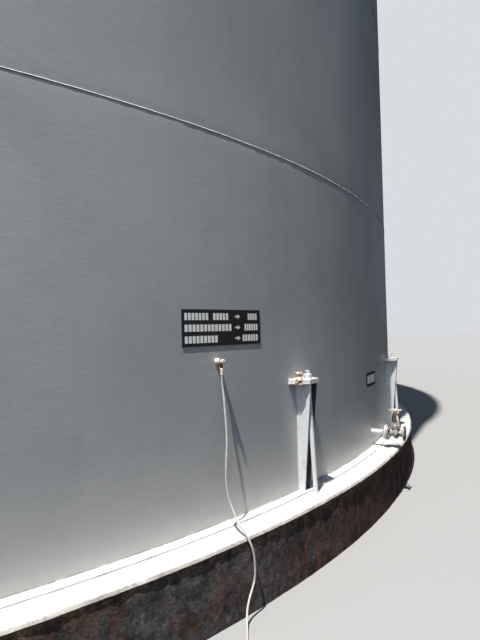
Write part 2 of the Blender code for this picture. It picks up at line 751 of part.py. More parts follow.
def valve_bonnet(iron):
    """Bolted bonnet with its gland, and the two-armed yoke that carries the stem's upper end."""
    low = VALVE_NECK_TOP + GAP
    bore = STEM_RADIUS + STEM_CLEARANCE
    profile = (
        (0.0, GLAND_TOP),
        (GLAND_RADIUS, GLAND_TOP),
        (GLAND_RADIUS, BONNET_SHOULDER),
        (BONNET_SHOULDER_RADIUS, BONNET_SHOULDER),
        (VALVE_NECK_RADIUS, low + BONNET_FLANGE),
        (BONNET_RADIUS, low + BONNET_FLANGE),
        (BONNET_RADIUS, low),
        (0.0, low),
    )
    dome = turned_mesh("bonnet_dome", profile, 24, closed=False)
    head_ends = ((0, 0, YOKE_HEAD_LOW), (0, 0, YOKE_HEAD_TOP))
    head = rod_mesh("yoke_head", *head_ends, YOKE_HEAD_RADIUS, 16)
    arms = [yoke_arm(side) for side in (-1, 1)]
    stem_way = rod_mesh("stem_way", (0, 0, low - BITE), (0, 0, YOKE_HEAD_TOP + BITE), bore, 12)
    mesh = joined("valve_bonnet", [dome, *arms, head], cuts=[stem_way])
    mesh.transform(Matrix.Translation((valve_middle(), 0, 0)))
    on_wall(add_object("valve_bonnet", mesh, iron), DRAIN_BEARING, DRAIN_HEIGHT)


def handwheel(iron):
    """Wheel and stem of the valve. The object's origin lies on the stem's axis."""
    rim_profile = [
        (WHEEL_RADIUS + WHEEL_RIM * math.cos(a), WHEEL_RIM * math.sin(a))
        for a in (-math.tau * i / 8 for i in range(8))
    ]
    rim = turned_mesh("wheel_rim", rim_profile, 32)
    hub_low = -WHEEL_DISH - HUB_HEIGHT / 2
    hub_high = -WHEEL_DISH + HUB_HEIGHT / 2
    hub = rod_mesh("wheel_hub", (0, 0, hub_low), (0, 0, hub_high), HUB_RADIUS, 16)
    spokes = []
    for i in range(SPOKES):
        angle = math.tau * (i + 0.5) / SPOKES
        way = Vector((math.cos(angle), math.sin(angle), 0))
        inner = way * (HUB_RADIUS / 2) + Vector((0, 0, -WHEEL_DISH))
        spokes.append(rod_mesh("wheel_spoke", inner, way * WHEEL_RADIUS, SPOKE_RADIUS, 8))
    stem_low = STEM_ENTRY - WHEEL_HEIGHT
    stem = rod_mesh("valve_stem", (0, 0, stem_low), (0, 0, hub_high + BITE * 2), STEM_RADIUS, 12)
    mesh = joined("handwheel", [rim, *spokes, hub, stem])
    wheel = add_object("handwheel", mesh, iron)
    on_wall(wheel, DRAIN_BEARING, DRAIN_HEIGHT + WHEEL_HEIGHT, valve_middle())


def build():
    clear_scene()
    shell_paint = finish("grey_paint", "9BA0A3", 0.42)
    chair_paint = finish("chair_paint", "B4B6B8", 0.48)
    roof_paint = finish("roof_paint", "A6AAAC", 0.45)
    rusty_steel = finish("rusty_steel", "7A5237", 0.80)
    bare_steel = finish("bare_steel", "C8C9C8", 0.40, 0.8)
    valve_paint = finish("valve_paint", "BDBEBC", 0.50)
    wheel_iron = finish("wheel_iron", "6E4A34", 0.75)
    black_sign = finish("sign_black", "1B1C1E", 0.45)
    cable_sheath = finish("cable_sheath", "8F9193", 0.55)
    foundation()
    bottom_plate(shell_paint)
    shell_courses(shell_paint)
    curb_angle(shell_paint)
    roof(roof_paint)
    roof_vent(roof_paint)
    roof_hatch(roof_paint)
    anchor_chairs(chair_paint)
    edge_clamp(rusty_steel)
    earth_boss(bare_steel)
    earth_lug(rusty_steel)
    points = cable_points()
    earth_cable(cable_sheath, points)
    end_lug(bare_steel, points[-1], (points[-1] - points[-2]).normalized())
    signs(black_sign)
    drain_nozzle(valve_paint)
    valve_body(valve_paint)
    valve_bonnet(valve_paint)
    handwheel(wheel_iron)


build()
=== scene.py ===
"""The look of a vertical storage tank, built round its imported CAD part.

Metres, +Z up, ground at z = 0, with the origin on the tank's axis. Bearings are in degrees, from -Y
towards +X, as in the part's own source.
"""

import math
from functools import partial

import bmesh
import bpy
from mathutils import Matrix, Vector, noise


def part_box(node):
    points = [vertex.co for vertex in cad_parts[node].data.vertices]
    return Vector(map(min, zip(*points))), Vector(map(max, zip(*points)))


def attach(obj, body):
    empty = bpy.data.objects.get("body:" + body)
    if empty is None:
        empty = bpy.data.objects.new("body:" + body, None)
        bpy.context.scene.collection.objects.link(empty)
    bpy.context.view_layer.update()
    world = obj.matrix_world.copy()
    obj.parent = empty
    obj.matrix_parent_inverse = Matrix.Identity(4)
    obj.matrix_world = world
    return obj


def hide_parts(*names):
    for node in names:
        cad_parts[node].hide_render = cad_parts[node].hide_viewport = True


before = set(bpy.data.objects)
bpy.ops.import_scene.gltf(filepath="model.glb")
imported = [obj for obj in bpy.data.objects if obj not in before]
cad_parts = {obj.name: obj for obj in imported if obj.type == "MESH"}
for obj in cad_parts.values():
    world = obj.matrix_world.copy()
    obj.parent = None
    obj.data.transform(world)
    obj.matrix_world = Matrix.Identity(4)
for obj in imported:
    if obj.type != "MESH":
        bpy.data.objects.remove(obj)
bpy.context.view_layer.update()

# Camera of the photograph
CAMERA_PLACE = (0.0, -10.638, 1.608)
CAMERA_YAW = 33.87
CAMERA_PITCH = 1.21
CAMERA_ROLL = -1.44
CAMERA_LENS = 28.25

# Light
KEY_DIRECTION = (-0.308, -0.167, 0.937)
KEY_STRENGTH = 8.0
KEY_ANGLE = 0.8
KEY_COLOUR = "FFF9F0"
FLOOR_RADIUS = 90.0
FLOOR_COLOUR = "8D8E90"
BACKDROP_COLOUR = "D9DCDF"

# Dome: the colour away from the key and the colour towards it, below the horizon, over it and overhead
DOME_GROUND = ("4E4A45", "817F7B")
DOME_HORIZON = ("35342F", "BFD3EA")
DOME_TOP = ("56677A", "D2E8FF")
DOME_STRENGTH = 0.9
DOME_BEHIND = "7F868E"

# Tank
RADIUS = 8.17
FACETS = 100
FACET_ANGLE = 360 / FACETS
COURSE_COUNT = 5
SHELL_SEGMENTS = 720
SHELL_LIP = 0.008
VERTICALS_PER_COURSE = 6
COURSE_STAGGER = 15.0
FIRST_VERTICAL = 43.0
FOUNDATION_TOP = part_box("foundation")[1].z
SHELL_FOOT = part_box("shell_course_1")[0].z
GIRTHS = [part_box(f"shell_course_{i + 1}")[1].z for i in range(COURSE_COUNT)]
GAP = 0.0003
EASE = 0.001
SCREED_THICKNESS = 0.022
SCREED_OVERHANG = 0.008
FOUNDATION_SEGMENTS = 2880

# Anchor chairs
CHAIR_COUNT = 20
CHAIR_BEARING = 17.1
CHAIR_WALL = RADIUS * math.cos(math.radians(FACET_ANGLE / 2))
CHAIR_PLATE_TOP = 1.251
CHAIR_PLATE_THICKNESS = 0.034
CHAIR_PLATE_LOW = CHAIR_PLATE_TOP - CHAIR_PLATE_THICKNESS
CHAIR_PLATE_REACH = 0.138
CHAIR_PLATE_WALL_WIDTH = 0.272
CHAIR_PLATE_END_WIDTH = 0.124
GUSSET_THICKNESS = 0.012
GUSSET_FOOT_REACH = 0.056
GUSSET_WALL_SPREAD = 0.062
GUSSET_END_SPREAD = 0.090
ROD_RADIUS = 0.018
ROD_TOP_REACH = 0.084
ROD_FOOT_REACH = 0.126
ROD_END = 0.024
THREAD_PITCH = 0.004
NUT_RADIUS = 0.0317
NUT_HEIGHT = 0.029
WASHER_RADIUS = 0.033
WASHER_THICKNESS = 0.005

# Screw clamp on the first chair, from its place on the edge of the top plate
CLAMP_HALF_WIDTH = 0.026
CLAMP_REACH = 0.034
CLAMP_BACK = 0.012
CLAMP_JAW = 0.010
CLAMP_HEAD_LOW = 0.020
CLAMP_HEAD_TOP = 0.044
CLAMP_SCREW_RADIUS = 0.009

# Earthing point
BOSS_BEARING = 11.18
BOSS_HEIGHT = 1.426
BOSS_RADIUS = 0.016
BOSS_LENGTH = 0.034
LUG_THICKNESS = 0.005
LUG_WIDTH = 0.026
LUG_LENGTH = 0.046
LUG_OVERHANG = 0.015
LUG_BARREL_RADIUS = 0.009
LUG_BARREL_LENGTH = 0.035
LUG_HOLE_RADIUS = 0.0065
LUG_NUT_RADIUS = 0.0138
CABLE_RADIUS = 0.00635
CABLE_SPACING = 0.012
CABLE_LEAD = 0.035
CABLE_REST = CABLE_RADIUS + 0.0005
LUG_REST = LUG_BARREL_RADIUS + 0.0005

# Bearing, distance out from the shell and height of each point of the conductor's route below the straight
# lead out of its first lug
CABLE_ROUTE = (
    (11.19, 0.0440, 1.2700),
    (11.19, 0.0510, 1.2250),
    (11.16, 0.0600, 1.1800),
    (11.12, 0.0720, 1.1050),
    (11.10, 0.0820, 1.0250),
    (11.06, 0.0890, 0.9400),
    (10.98, 0.0925, 0.8450),
    (10.94, 0.0940, 0.7550),
    (10.96, 0.0960, 0.6850),
    (11.00, 0.1060, 0.6250),
    (11.02, 0.1280, 0.5750),
    (11.00, 0.1600, 0.5300),
    (10.97, 0.1980, 0.4920),
    (10.96, 0.2360, 0.4620),
    (11.01, 0.2610, 0.4248),
    (11.08, 0.2760, 0.3780),
    (11.14, 0.2810, 0.3200),
    (11.16, 0.2810, 0.2600),
    (11.13, 0.2800, 0.2100),
    (11.00, 0.2800, 0.1650),
    (10.82, 0.2830, 0.1250),
    (10.66, 0.2900, 0.0880),
    (10.52, 0.3020, 0.0540),
    (10.38, 0.3220, 0.0260),
    (10.20, 0.3490, 0.0110),
    (10.00, 0.3800, CABLE_REST),
    (9.80, 0.4115, 0.0080),
    (9.70, 0.4278, LUG_REST),
    (9.60, 0.4440, LUG_REST),
)

# Signs: how far their plates reach to both sides of what they name, in degrees, and how far they stand off
EARTH_SIGN_SPAN = (BOSS_BEARING - 1.86, BOSS_BEARING + 2.80)
SIGN_BACK = 0.0022
SIGN_FACE = 0.0042
PRINT_FACE = SIGN_FACE + 0.0004
PRINT_HEIGHT = 0.042
PRINT_PITCH = 0.068
# Runs of blocks in each line of print, as shares of the sign's width and a count
PRINT_LINES = (
    ((0.03, 0.31, 7), (0.36, 0.56, 5), (0.82, 0.96, 4)),
    ((0.03, 0.60, 13), (0.77, 0.97, 6)),
    ((0.03, 0.42, 9), (0.74, 0.97, 6)),
)
ARROW_SHARES = (0.64, 0.71)

# Drain pipe, gate valve and handwheel
DRAIN_BEARING = 27.98
DRAIN_SIGN_SPAN = (DRAIN_BEARING - 1.13, DRAIN_BEARING + 1.34)
DRAIN_HEIGHT = 0.585
PIPE_RADIUS = 0.0243
BORE_RADIUS = 0.0205
NOZZLE_LENGTH = 0.150
FLANGE_RADIUS = 0.070
FLANGE_THICKNESS = 0.016
FLANGE_FACE_RADIUS = 0.0405
FLANGE_STEP = 0.002
GASKET_RADIUS = 0.046
BOLT_CIRCLE = 0.0525
BOLT_HOLE_RADIUS = 0.009
STUD_RADIUS = 0.008
STUD_REACH = 0.022
STUD_NUT_RADIUS = 0.0138
VALVE_LENGTH = 0.170
VALVE_BARREL_RADIUS = 0.034
VALVE_SEAT_LENGTH = 0.044
VALVE_SEAT_RADIUS = 0.056
VALVE_NECK_RADIUS = 0.034
VALVE_NECK_FOOT = 0.025
VALVE_NECK_TOP = 0.062
OUTLET_DEPTH = 0.045
BONNET_RADIUS = 0.047
BONNET_FLANGE = 0.011
BONNET_SHOULDER = 0.092
BONNET_SHOULDER_RADIUS = 0.031
BONNET_BOLT_CIRCLE = 0.0395
BONNET_BOLT_RADIUS = 0.0075
GLAND_RADIUS = 0.017
GLAND_TOP = 0.124
YOKE_SPREAD = 0.058
YOKE_WIDTH = 0.016
YOKE_THICKNESS = 0.009
YOKE_HEAD_RADIUS = 0.018
YOKE_HEAD_LOW = 0.168
YOKE_HEAD_TOP = 0.190
STEM_RADIUS = 0.007
WHEEL_HEIGHT = 0.218
WHEEL_RADIUS = 0.054
WHEEL_RIM = 0.0065
WHEEL_DISH = 0.010
HUB_RADIUS = 0.014
HUB_HEIGHT = 0.022
SPOKE_RADIUS = 0.0045

# Curb angle and roof
CURB_LEG = 0.075
CURB_THICKNESS = 0.008
ROOF_RISE = 0.60
ROOF_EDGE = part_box("roof")[1].x
ROOF_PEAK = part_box("roof")[1].z
ROOF_SLOPE = math.atan2(ROOF_RISE, ROOF_EDGE)
ROOF_SEAMS = 24
ROOF_SEAM_RINGS = (0.45, 1.6, 4.9)
VENT_PIPE_RADIUS = 0.137
VENT_PIPE_HEIGHT = 0.34
VENT_CAP_SKIRT = 0.11
VENT_SHEET = 0.003
VENT_MOUTH = 0.030
SCREEN_WIRES = 48
SCREEN_WIRE_RADIUS = 0.0008
HATCH_BEARING = 190.0
HATCH_DISTANCE = 6.60
HATCH_NECK_RADIUS = 0.305
HATCH_NECK_HEIGHT = 0.16
HATCH_FLANGE_RADIUS = 0.375
HATCH_FLANGE_THICKNESS = 0.014
HATCH_COVER_THICKNESS = 0.012
HATCH_BOLTS = 20
HATCH_BOLT_RADIUS = 0.0138
HATCH_GRIP_SPAN = 0.16
HATCH_GRIP_HEIGHT = 0.07
HATCH_GRIP_ROD = 0.008

UP = Vector((0, 0, 1))

# Kinds of node that the finishes use most
NOISE = "ShaderNodeTexNoise"
RANGE = "ShaderNodeMapRange"
MIX = "ShaderNodeMix"
MATH = "ShaderNodeMath"
BUMP = "ShaderNodeBump"

# Settings of a colour mix that darkens or lightens what lies under it
MULTIPLIED = {"data_type": "RGBA", "blend_type": "MULTIPLY"}


def outward(bearing):
    """Unit vector that points away from the tank's axis at a bearing."""
    angle = math.radians(bearing)
    return Vector((math.sin(angle), -math.cos(angle), 0.0))


def facet_bearing(bearing):
    """Bearing that the CAD shell's facet at a bearing faces."""
    return CHAIR_BEARING + FACET_ANGLE * round((bearing - CHAIR_BEARING) / FACET_ANGLE)


def wall_frame(bearing, height):
    """Frame of a piece that stands square to the CAD shell: X outwards, Z up, from a point on the wall."""
    square = facet_bearing(bearing)
    distance = CHAIR_WALL / math.cos(math.radians(bearing - square))
    place = outward(bearing) * distance + UP * height
    return Matrix.Translation(place) @ Matrix.Rotation(math.radians(square - 90), 4, "Z")


def photo_camera():
    """Camera that stands where the photograph was taken."""
    camera = bpy.data.cameras.new("photo_camera")
    camera.lens = CAMERA_LENS
    camera.sensor_width = 36.0
    camera.clip_end = 400.0
    obj = placed("photo_camera", camera)
    turn = Matrix.Rotation(math.radians(-CAMERA_YAW), 4, "Z")
    tilt = Matrix.Rotation(math.radians(90 + CAMERA_PITCH), 4, "X")
    roll = Matrix.Rotation(math.radians(CAMERA_ROLL), 4, "Z")
    obj.matrix_world = Matrix.Translation(CAMERA_PLACE) @ turn @ tilt @ roll
    bpy.context.scene.camera = obj


def linear(code):
    """Linear colour of a six-digit sRGB hex code."""
    shares = [int(code[i : i + 2], 16) / 255 for i in (0, 2, 4)]
    values = [s / 12.92 if s <= 0.04045 else ((s + 0.055) / 1.055) ** 2.4 for s in shares]
    return (*values, 1.0)


def add_node(tree, kind, inputs=(), **settings):
    """Adds a node with its settings and links. Its inputs are given in their order, or by name. Each is a
    value, the hex code of a colour, an output to link, or a node whose first output is linked."""
    node = tree.nodes.new(kind)
    for name, value in settings.items():
        setattr(node, name, value)
    sockets = [socket for socket in node.inputs if socket.enabled]
    if isinstance(inputs, dict):
        names = [socket.name for socket in sockets]
        sockets = [sockets[names.index(name)] for name in inputs]
        inputs = inputs.values()
    for socket, value in zip(sockets, inputs):
        if isinstance(value, bpy.types.Node):
            value = next(output for output in value.outputs if output.enabled)
        if isinstance(value, bpy.types.NodeSocket):
            tree.links.new(value, socket)
        else:
            socket.default_value = linear(value) if socket.type == "RGBA" else value
    return node


def smooth_route(points, spacing):
    """Points at an even spacing along a smooth curve through the given ones."""
    ends = [points[0] * 2 - points[1], *points, points[-1] * 2 - points[-2]]
    fine = []
    for a, b, c, d in zip(ends, ends[1:], ends[2:], ends[3:]):
        for step in range(16):
            t = step / 16
            bend = (a * 2 - b * 5 + c * 4 - d) * t * t + (b * 3 - a - c * 3 + d) * t * t * t
            fine.append((b * 2 + (c - a) * t + bend) / 2)
    fine.append(points[-1])
    total = sum((q - p).length for p, q in zip(fine, fine[1:]))
    count = max(2, round(total / spacing))
    even = [fine[0]]
    travelled = 0.0
    for p, q in zip(fine, fine[1:]):
        piece = (q - p).length
        while len(even) < count and travelled + piece >= total * len(even) / count:
            share = (total * len(even) / count - travelled) / piece
            even.append(p.lerp(q, share))
        travelled += piece
    even.append(fine[-1])
    return even


def eased(*corners):
    """Outline through corners, each of two coordinates. A corner with a third value is cut off at that
    distance from it along both its sides."""
    outline = []
    for i, (a, b, *ease) in enumerate(corners):
        if not ease or not ease[0]:
            outline.append((a, b))
            continue
        for c, d, *_ in (corners[i - 1], corners[(i + 1) % len(corners)]):
            share = ease[0] / math.hypot(c - a, d - b)
            outline.append((a + (c - a) * share, b + (d - b) * share))
    return outline


def spots_round(radius, count, first=0.0):
    """Places evenly round the Z axis, as matrices. first is the angle of the first one in degrees."""
    turns = [math.radians(first + 360 * i / count) for i in range(count)]
    return [Matrix.Translation((radius * math.cos(t), radius * math.sin(t), 0)) for t in turns]


def moved(mesh, matrix):
    """The mesh itself, after it is moved by a matrix."""
    mesh.transform(matrix)
    return mesh


def finished(mesh, sharp=35.0):
    """Smooth shading that breaks at edges sharper than the angle."""
    mesh.shade_smooth()
    mesh.set_sharp_from_angle(angle=math.radians(sharp))
    return mesh


def mesh_from(bm, name, sharp=35.0):
    """Finished mesh from a bmesh, with its faces turned outwards."""
    bmesh.ops.recalc_face_normals(bm, faces=bm.faces)
    mesh = bpy.data.meshes.new(name)
    bm.to_mesh(mesh)
    bm.free()
    return finished(mesh, sharp)


def placed(name, data):
    """New object in the scene."""
    obj = bpy.data.objects.new(name, data)
    bpy.context.scene.collection.objects.link(obj)
    return obj


def add_piece(name, mesh, material, body="tank", stands_for=()):
    """Puts a finished mesh in the scene as a piece. Without a material the mesh keeps its own."""
    obj = placed(name, mesh)
    if material:
        mesh.materials.clear()
        mesh.materials.append(material)
    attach(obj, body)
    if stands_for:
        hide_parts(*stands_for)
    return obj


def in_finishes(mesh, materials, number):
    """The mesh in several materials. number gives the one that a face has."""
    mesh.materials.clear()
    for material in materials:
        mesh.materials.append(material)
    for polygon in mesh.polygons:
        polygon.material_index = int(number(polygon))
    return mesh


def joined_mesh(name, meshes):
    """One mesh with the faces of several, without their materials."""
    bm = bmesh.new()
    for mesh in meshes:
        mesh.materials.clear()
        bm.from_mesh(mesh)
        bpy.data.meshes.remove(mesh)
    mesh = bpy.data.meshes.new(name)
    bm.to_mesh(mesh)
    bm.free()
    return finished(mesh, 28.0)


def ring_mesh(name, profile, segments, shift=None, closed=True):
    """Mesh turned about the tank's axis from (radius, height) points. shift moves a point outwards."""
    bm = bmesh.new()
    rings = []
    for radius, z in profile:
        ring = []
        for i in range(segments if radius else 1):
            bearing = 360 * i / segments
            out = shift(bearing, radius, z) if shift and radius else 0.0
            ring.append(bm.verts.new(outward(bearing) * (radius + out) + UP * z))
        rings.append(ring)
    ends = rings[1:] + rings[:1] if closed else rings[1:]
    for upper, lower in zip(rings, ends):
        for i in range(segments):
            pairs = [(ring[i % len(ring)], ring[(i + 1) % len(ring)]) for ring in (upper, lower)]
            corners = dict.fromkeys((*pairs[0], *reversed(pairs[1])))
            bm.faces.new(list(corners))
    return mesh_from(bm, name)


def turned_mesh(name, profile, segments):
    """Closed mesh turned about Z from (radius, height) points that start and end on the axis."""
    return ring_mesh(name, profile, segments, closed=False)


def skinned(rings):
    """Closed bmesh over rings of as many points each."""
    bm = bmesh.new()
    rings = [[bm.verts.new(point) for point in ring] for ring in rings]
    bm.faces.new(rings[0])
    bm.faces.new(rings[-1])
    for a, b in zip(rings, rings[1:]):
        for i in range(len(a)):
            j = (i + 1) % len(a)
            bm.faces.new((a[i], a[j], b[j], b[i]))
    bmesh.ops.recalc_face_normals(bm, faces=bm.faces)
    return bm


def slab_mesh(name, outline, low, high, bevel=0.0, axis="Z"):
    """Flat plate from an outline of two coordinates, between two values of the third, its edges eased."""
    order = {"X": (2, 0, 1), "Y": (0, 2, 1), "Z": (0, 1, 2)}[axis]
    bm = skinned([[[(a, b, level)[k] for k in order] for a, b in outline] for level in (low, high)])
    if bevel:
        sharp = [e for e in bm.edges if e.calc_face_angle(0) > math.radians(30)]
        bmesh.ops.bevel(bm, geom=sharp, offset=bevel, segments=1, affect="EDGES")
    return mesh_from(bm, name, 50.0)


def bar_mesh(name, start, end, radius, sides=16, bevel=0.0):
    """Round bar between two points, with its ends eased."""
    start = Vector(start)
    way = Vector(end) - start
    profile = eased((0.0, way.length), (radius, way.length, bevel), (radius, 0.0, bevel), (0.0, 0.0))
    turn = way.to_track_quat("Z", "Y").to_matrix().to_4x4()
    return moved(turned_mesh(name, profile, sides), Matrix.Translation(start) @ turn)


def hex_mesh(name, radius, low, high, chamfer):
    """Hexagonal nut or bolt head about Z with its corners chamfered, radius to a corner."""
    flat = radius * math.cos(math.radians(30))
    levels = [(flat * 0.97, low), (radius, low + chamfer), (radius, high - chamfer), (flat * 0.97, high)]
    rings = []
    for reach, z in levels:
        ring = []
        for i in range(12):
            angle = math.tau * i / 12
            corner = reach if reach < flat or i % 2 == 0 else flat
            ring.append((corner * math.cos(angle), corner * math.sin(angle), z))
        rings.append(ring)
    return mesh_from(skinned(rings), name, 20.0)


def threaded_mesh(name, radius, low, high, pitch, sides=16):
    """Threaded end of a rod about Z: a ridge for every turn of the thread, and an eased tip."""
    root = radius - pitch * 0.55
    profile = [(0.0, high), (root, high)]
    for i in range(int((high - low) / pitch) - 1):
        crest = high - pitch * (i + 0.95)
        profile += [(radius, crest), (root, crest - pitch * 0.5)]
    profile += [(root, low), (0.0, low)]
    return turned_mesh(name, profile, sides)


def carved(name, mesh, cutters):
    """A closed mesh with cutters taken out of it."""
    base = placed(name, mesh)
    helpers = []
    for i, cutter in enumerate(cutters):
        helpers.append(placed(f"{name}_cutter_{i}", cutter))
        step = base.modifiers.new(f"cut_{i}", "BOOLEAN")
        step.operation = "DIFFERENCE"
        step.object = helpers[-1]
    graph = bpy.context.evaluated_depsgraph_get()
    result = bpy.data.meshes.new_from_object(base.evaluated_get(graph), depsgraph=graph)
    for thing in [base, *helpers]:
        bpy.data.objects.remove(thing, do_unlink=True)
    result.name = name
    return finished(result)


def new_tree(name, sockets):
    """Geometry Nodes tree with named inputs, each given by its name, kind of socket and usual value. Returns
    the tree, what adds a node to it, and its inputs."""
    tree = bpy.data.node_groups.new(name, "GeometryNodeTree")
    tree.interface.new_socket("Geometry", in_out="INPUT", socket_type="NodeSocketGeometry")
    for title, kind, value in sockets:
        socket = tree.interface.new_socket(title, in_out="INPUT", socket_type=kind)
        if value is not None:
            socket.default_value = value
    tree.interface.new_socket("Geometry", in_out="OUTPUT", socket_type="NodeSocketGeometry")
    add = partial(add_node, tree)
    return tree, add, add("NodeGroupInput").outputs


def made_by(tree, name, mesh, **values):
    """Plain mesh that a tree makes from another mesh. Underscores stand for spaces in its inputs' names."""
    holder = placed(name, mesh)
    modifier = holder.modifiers.new(tree.name, "NODES")
    modifier.node_group = tree
    for item in tree.interface.items_tree:
        key = item.name.replace(" ", "_")
        if item.in_out == "INPUT" and key in values:
            modifier[item.identifier] = values[key]
    graph = bpy.context.evaluated_depsgraph_get()
    made = bpy.data.meshes.new_from_object(holder.evaluated_get(graph), depsgraph=graph)
    holder.modifiers.remove(modifier)
    bpy.data.objects.remove(holder, do_unlink=True)
    made.name = name
    return made


def copies_tree():
    """Copies of a mesh turned evenly round the Z axis."""
    sockets = [
        ("Count", "NodeSocketInt", 4),
        ("First angle", "NodeSocketFloat", 0.0),
        ("Finish", "NodeSocketMaterial", None),
    ]
    tree, add, given = new_tree("copies_round_axis", sockets)
    places = add("GeometryNodePoints", {"Count": given["Count"]})
    pitch = add(MATH, (math.tau, given["Count"]), operation="DIVIDE")
    index = add("GeometryNodeInputIndex")
    turn = add(MATH, (index, pitch, given["First angle"]), operation="MULTIPLY_ADD")
    spin = add("ShaderNodeCombineXYZ", {"Z": turn})
    inputs = {"Points": places, "Instance": given["Geometry"], "Rotation": spin}
    real = add("GeometryNodeRealizeInstances", (add("GeometryNodeInstanceOnPoints", inputs),))
    finish = add("GeometryNodeSetMaterial", {"Geometry": real, "Material": given["Finish"]})
    add("NodeGroupOutput", (finish,))
    return tree


def weld_tree():
    """Weld beads along the edges of a mesh whose points hold the way that the bead faces as bead_out."""
    sockets = [
        ("Width", "NodeSocketFloat", 0.012),
        ("Height", "NodeSocketFloat", 0.003),
        ("Spacing", "NodeSocketFloat", 0.025),
        ("Wander", "NodeSocketFloat", 0.0015),
        ("Seed", "NodeSocketFloat", 0.0),
        ("Finish", "NodeSocketMaterial", None),
    ]
    tree, add, given = new_tree("weld_bead", sockets)
    line = add("GeometryNodeMeshToCurve", (given["Geometry"],))
    even = add("GeometryNodeResampleCurve", {"Curve": line, "Length": given["Spacing"]}, mode="LENGTH")
    out = add("GeometryNodeInputNamedAttribute", ("bead_out",), data_type="FLOAT_VECTOR")
    facing = add("GeometryNodeSetCurveNormal", {"Curve": even, "Normal": out}, mode="FREE")
    # The bead wanders off its line and swells in steps of about 70 mm, as a welder's hand does
    where = add("GeometryNodeInputPosition")
    shake = add(NOISE, (where, given["Seed"], 14.0, 2.0), noise_dimensions="4D")
    centred = add("ShaderNodeVectorMath", (shake.outputs["Color"], (0.5, 0.5, 0.5)), operation="SUBTRACT")
    offset = add("ShaderNodeVectorMath", (centred, given["Wander"]), operation="SCALE")
    wavy = add("GeometryNodeSetPosition", {"Geometry": facing, "Offset": offset})
    swell = add(RANGE, (shake, 0.3, 0.7, 0.85, 1.15))
    crown = add("GeometryNodeCurveArc", (6, 1.0, -math.pi / 2, math.pi), mode="RADIUS")
    closed = add("GeometryNodeSetSplineCyclic", {"Geometry": crown, "Cyclic": True})
    half = add(MATH, (given["Width"], 0.5), operation="MULTIPLY")
    scale = add("ShaderNodeCombineXYZ", (given["Height"], half, 1.0))
    profile = add("GeometryNodeTransform", {"Geometry": closed, "Scale": scale})
    bead = add("GeometryNodeCurveToMesh", (wavy, profile, swell, True))
    real = add("GeometryNodeRealizeInstances", (bead,))
    finish = add("GeometryNodeSetMaterial", {"Geometry": real, "Material": given["Finish"]})
    add("NodeGroupOutput", (finish,))
    return tree


def weld_lines(name, lines):
    """Mesh of edges for weld_tree. A line is (points, ways out, whether it closes on itself)."""
    mesh = bpy.data.meshes.new(name)
    points = []
    ways = []
    edges = []
    for line, out, loops in lines:
        first = len(points)
        points += line
        ways += out
        edges += [(first + i, first + i + 1) for i in range(len(line) - 1)]
        if loops:
            edges.append((len(points) - 1, first))
    mesh.from_pydata(points, edges, [])
    facing = mesh.attributes.new("bead_out", "FLOAT_VECTOR", "POINT")
    facing.data.foreach_set("vector", [value for way in ways for value in way])
    return mesh


def ring_line(radius, z, lift=0.0, count=360):
    """Closed weld line round the tank. lift tips the way that the bead faces up from level."""
    bearings = [360 * i / count for i in range(count)]
    tip = math.radians(lift)
    points = [outward(b) * radius + UP * z for b in bearings]
    ways = [outward(b) * math.cos(tip) + UP * math.sin(tip) for b in bearings]
    return points, ways, True


def straight_line(start, end, way):
    """Open weld line between two points."""
    start = Vector(start)
    end = Vector(end)
    count = max(2, int((end - start).length / 0.1) + 1)
    points = [start.lerp(end, i / (count - 1)) for i in range(count)]
    return points, [Vector(way).normalized()] * count, False


def per(size):
    """Scale of a pattern whose features are about a size in millimetres across. Patterns start from the
    tank's axis, 8 m away, so the last digit of a size still slides them."""
    return 1000 / size


def new_material(name):
    """Empty material. Returns it, what adds a node to it, and the place of each point on its piece."""
    material = bpy.data.materials.new(name)
    material.use_nodes = True
    material.node_tree.nodes.clear()
    add = partial(add_node, material.node_tree)
    return material, add, add("ShaderNodeTexCoord").outputs["Object"]


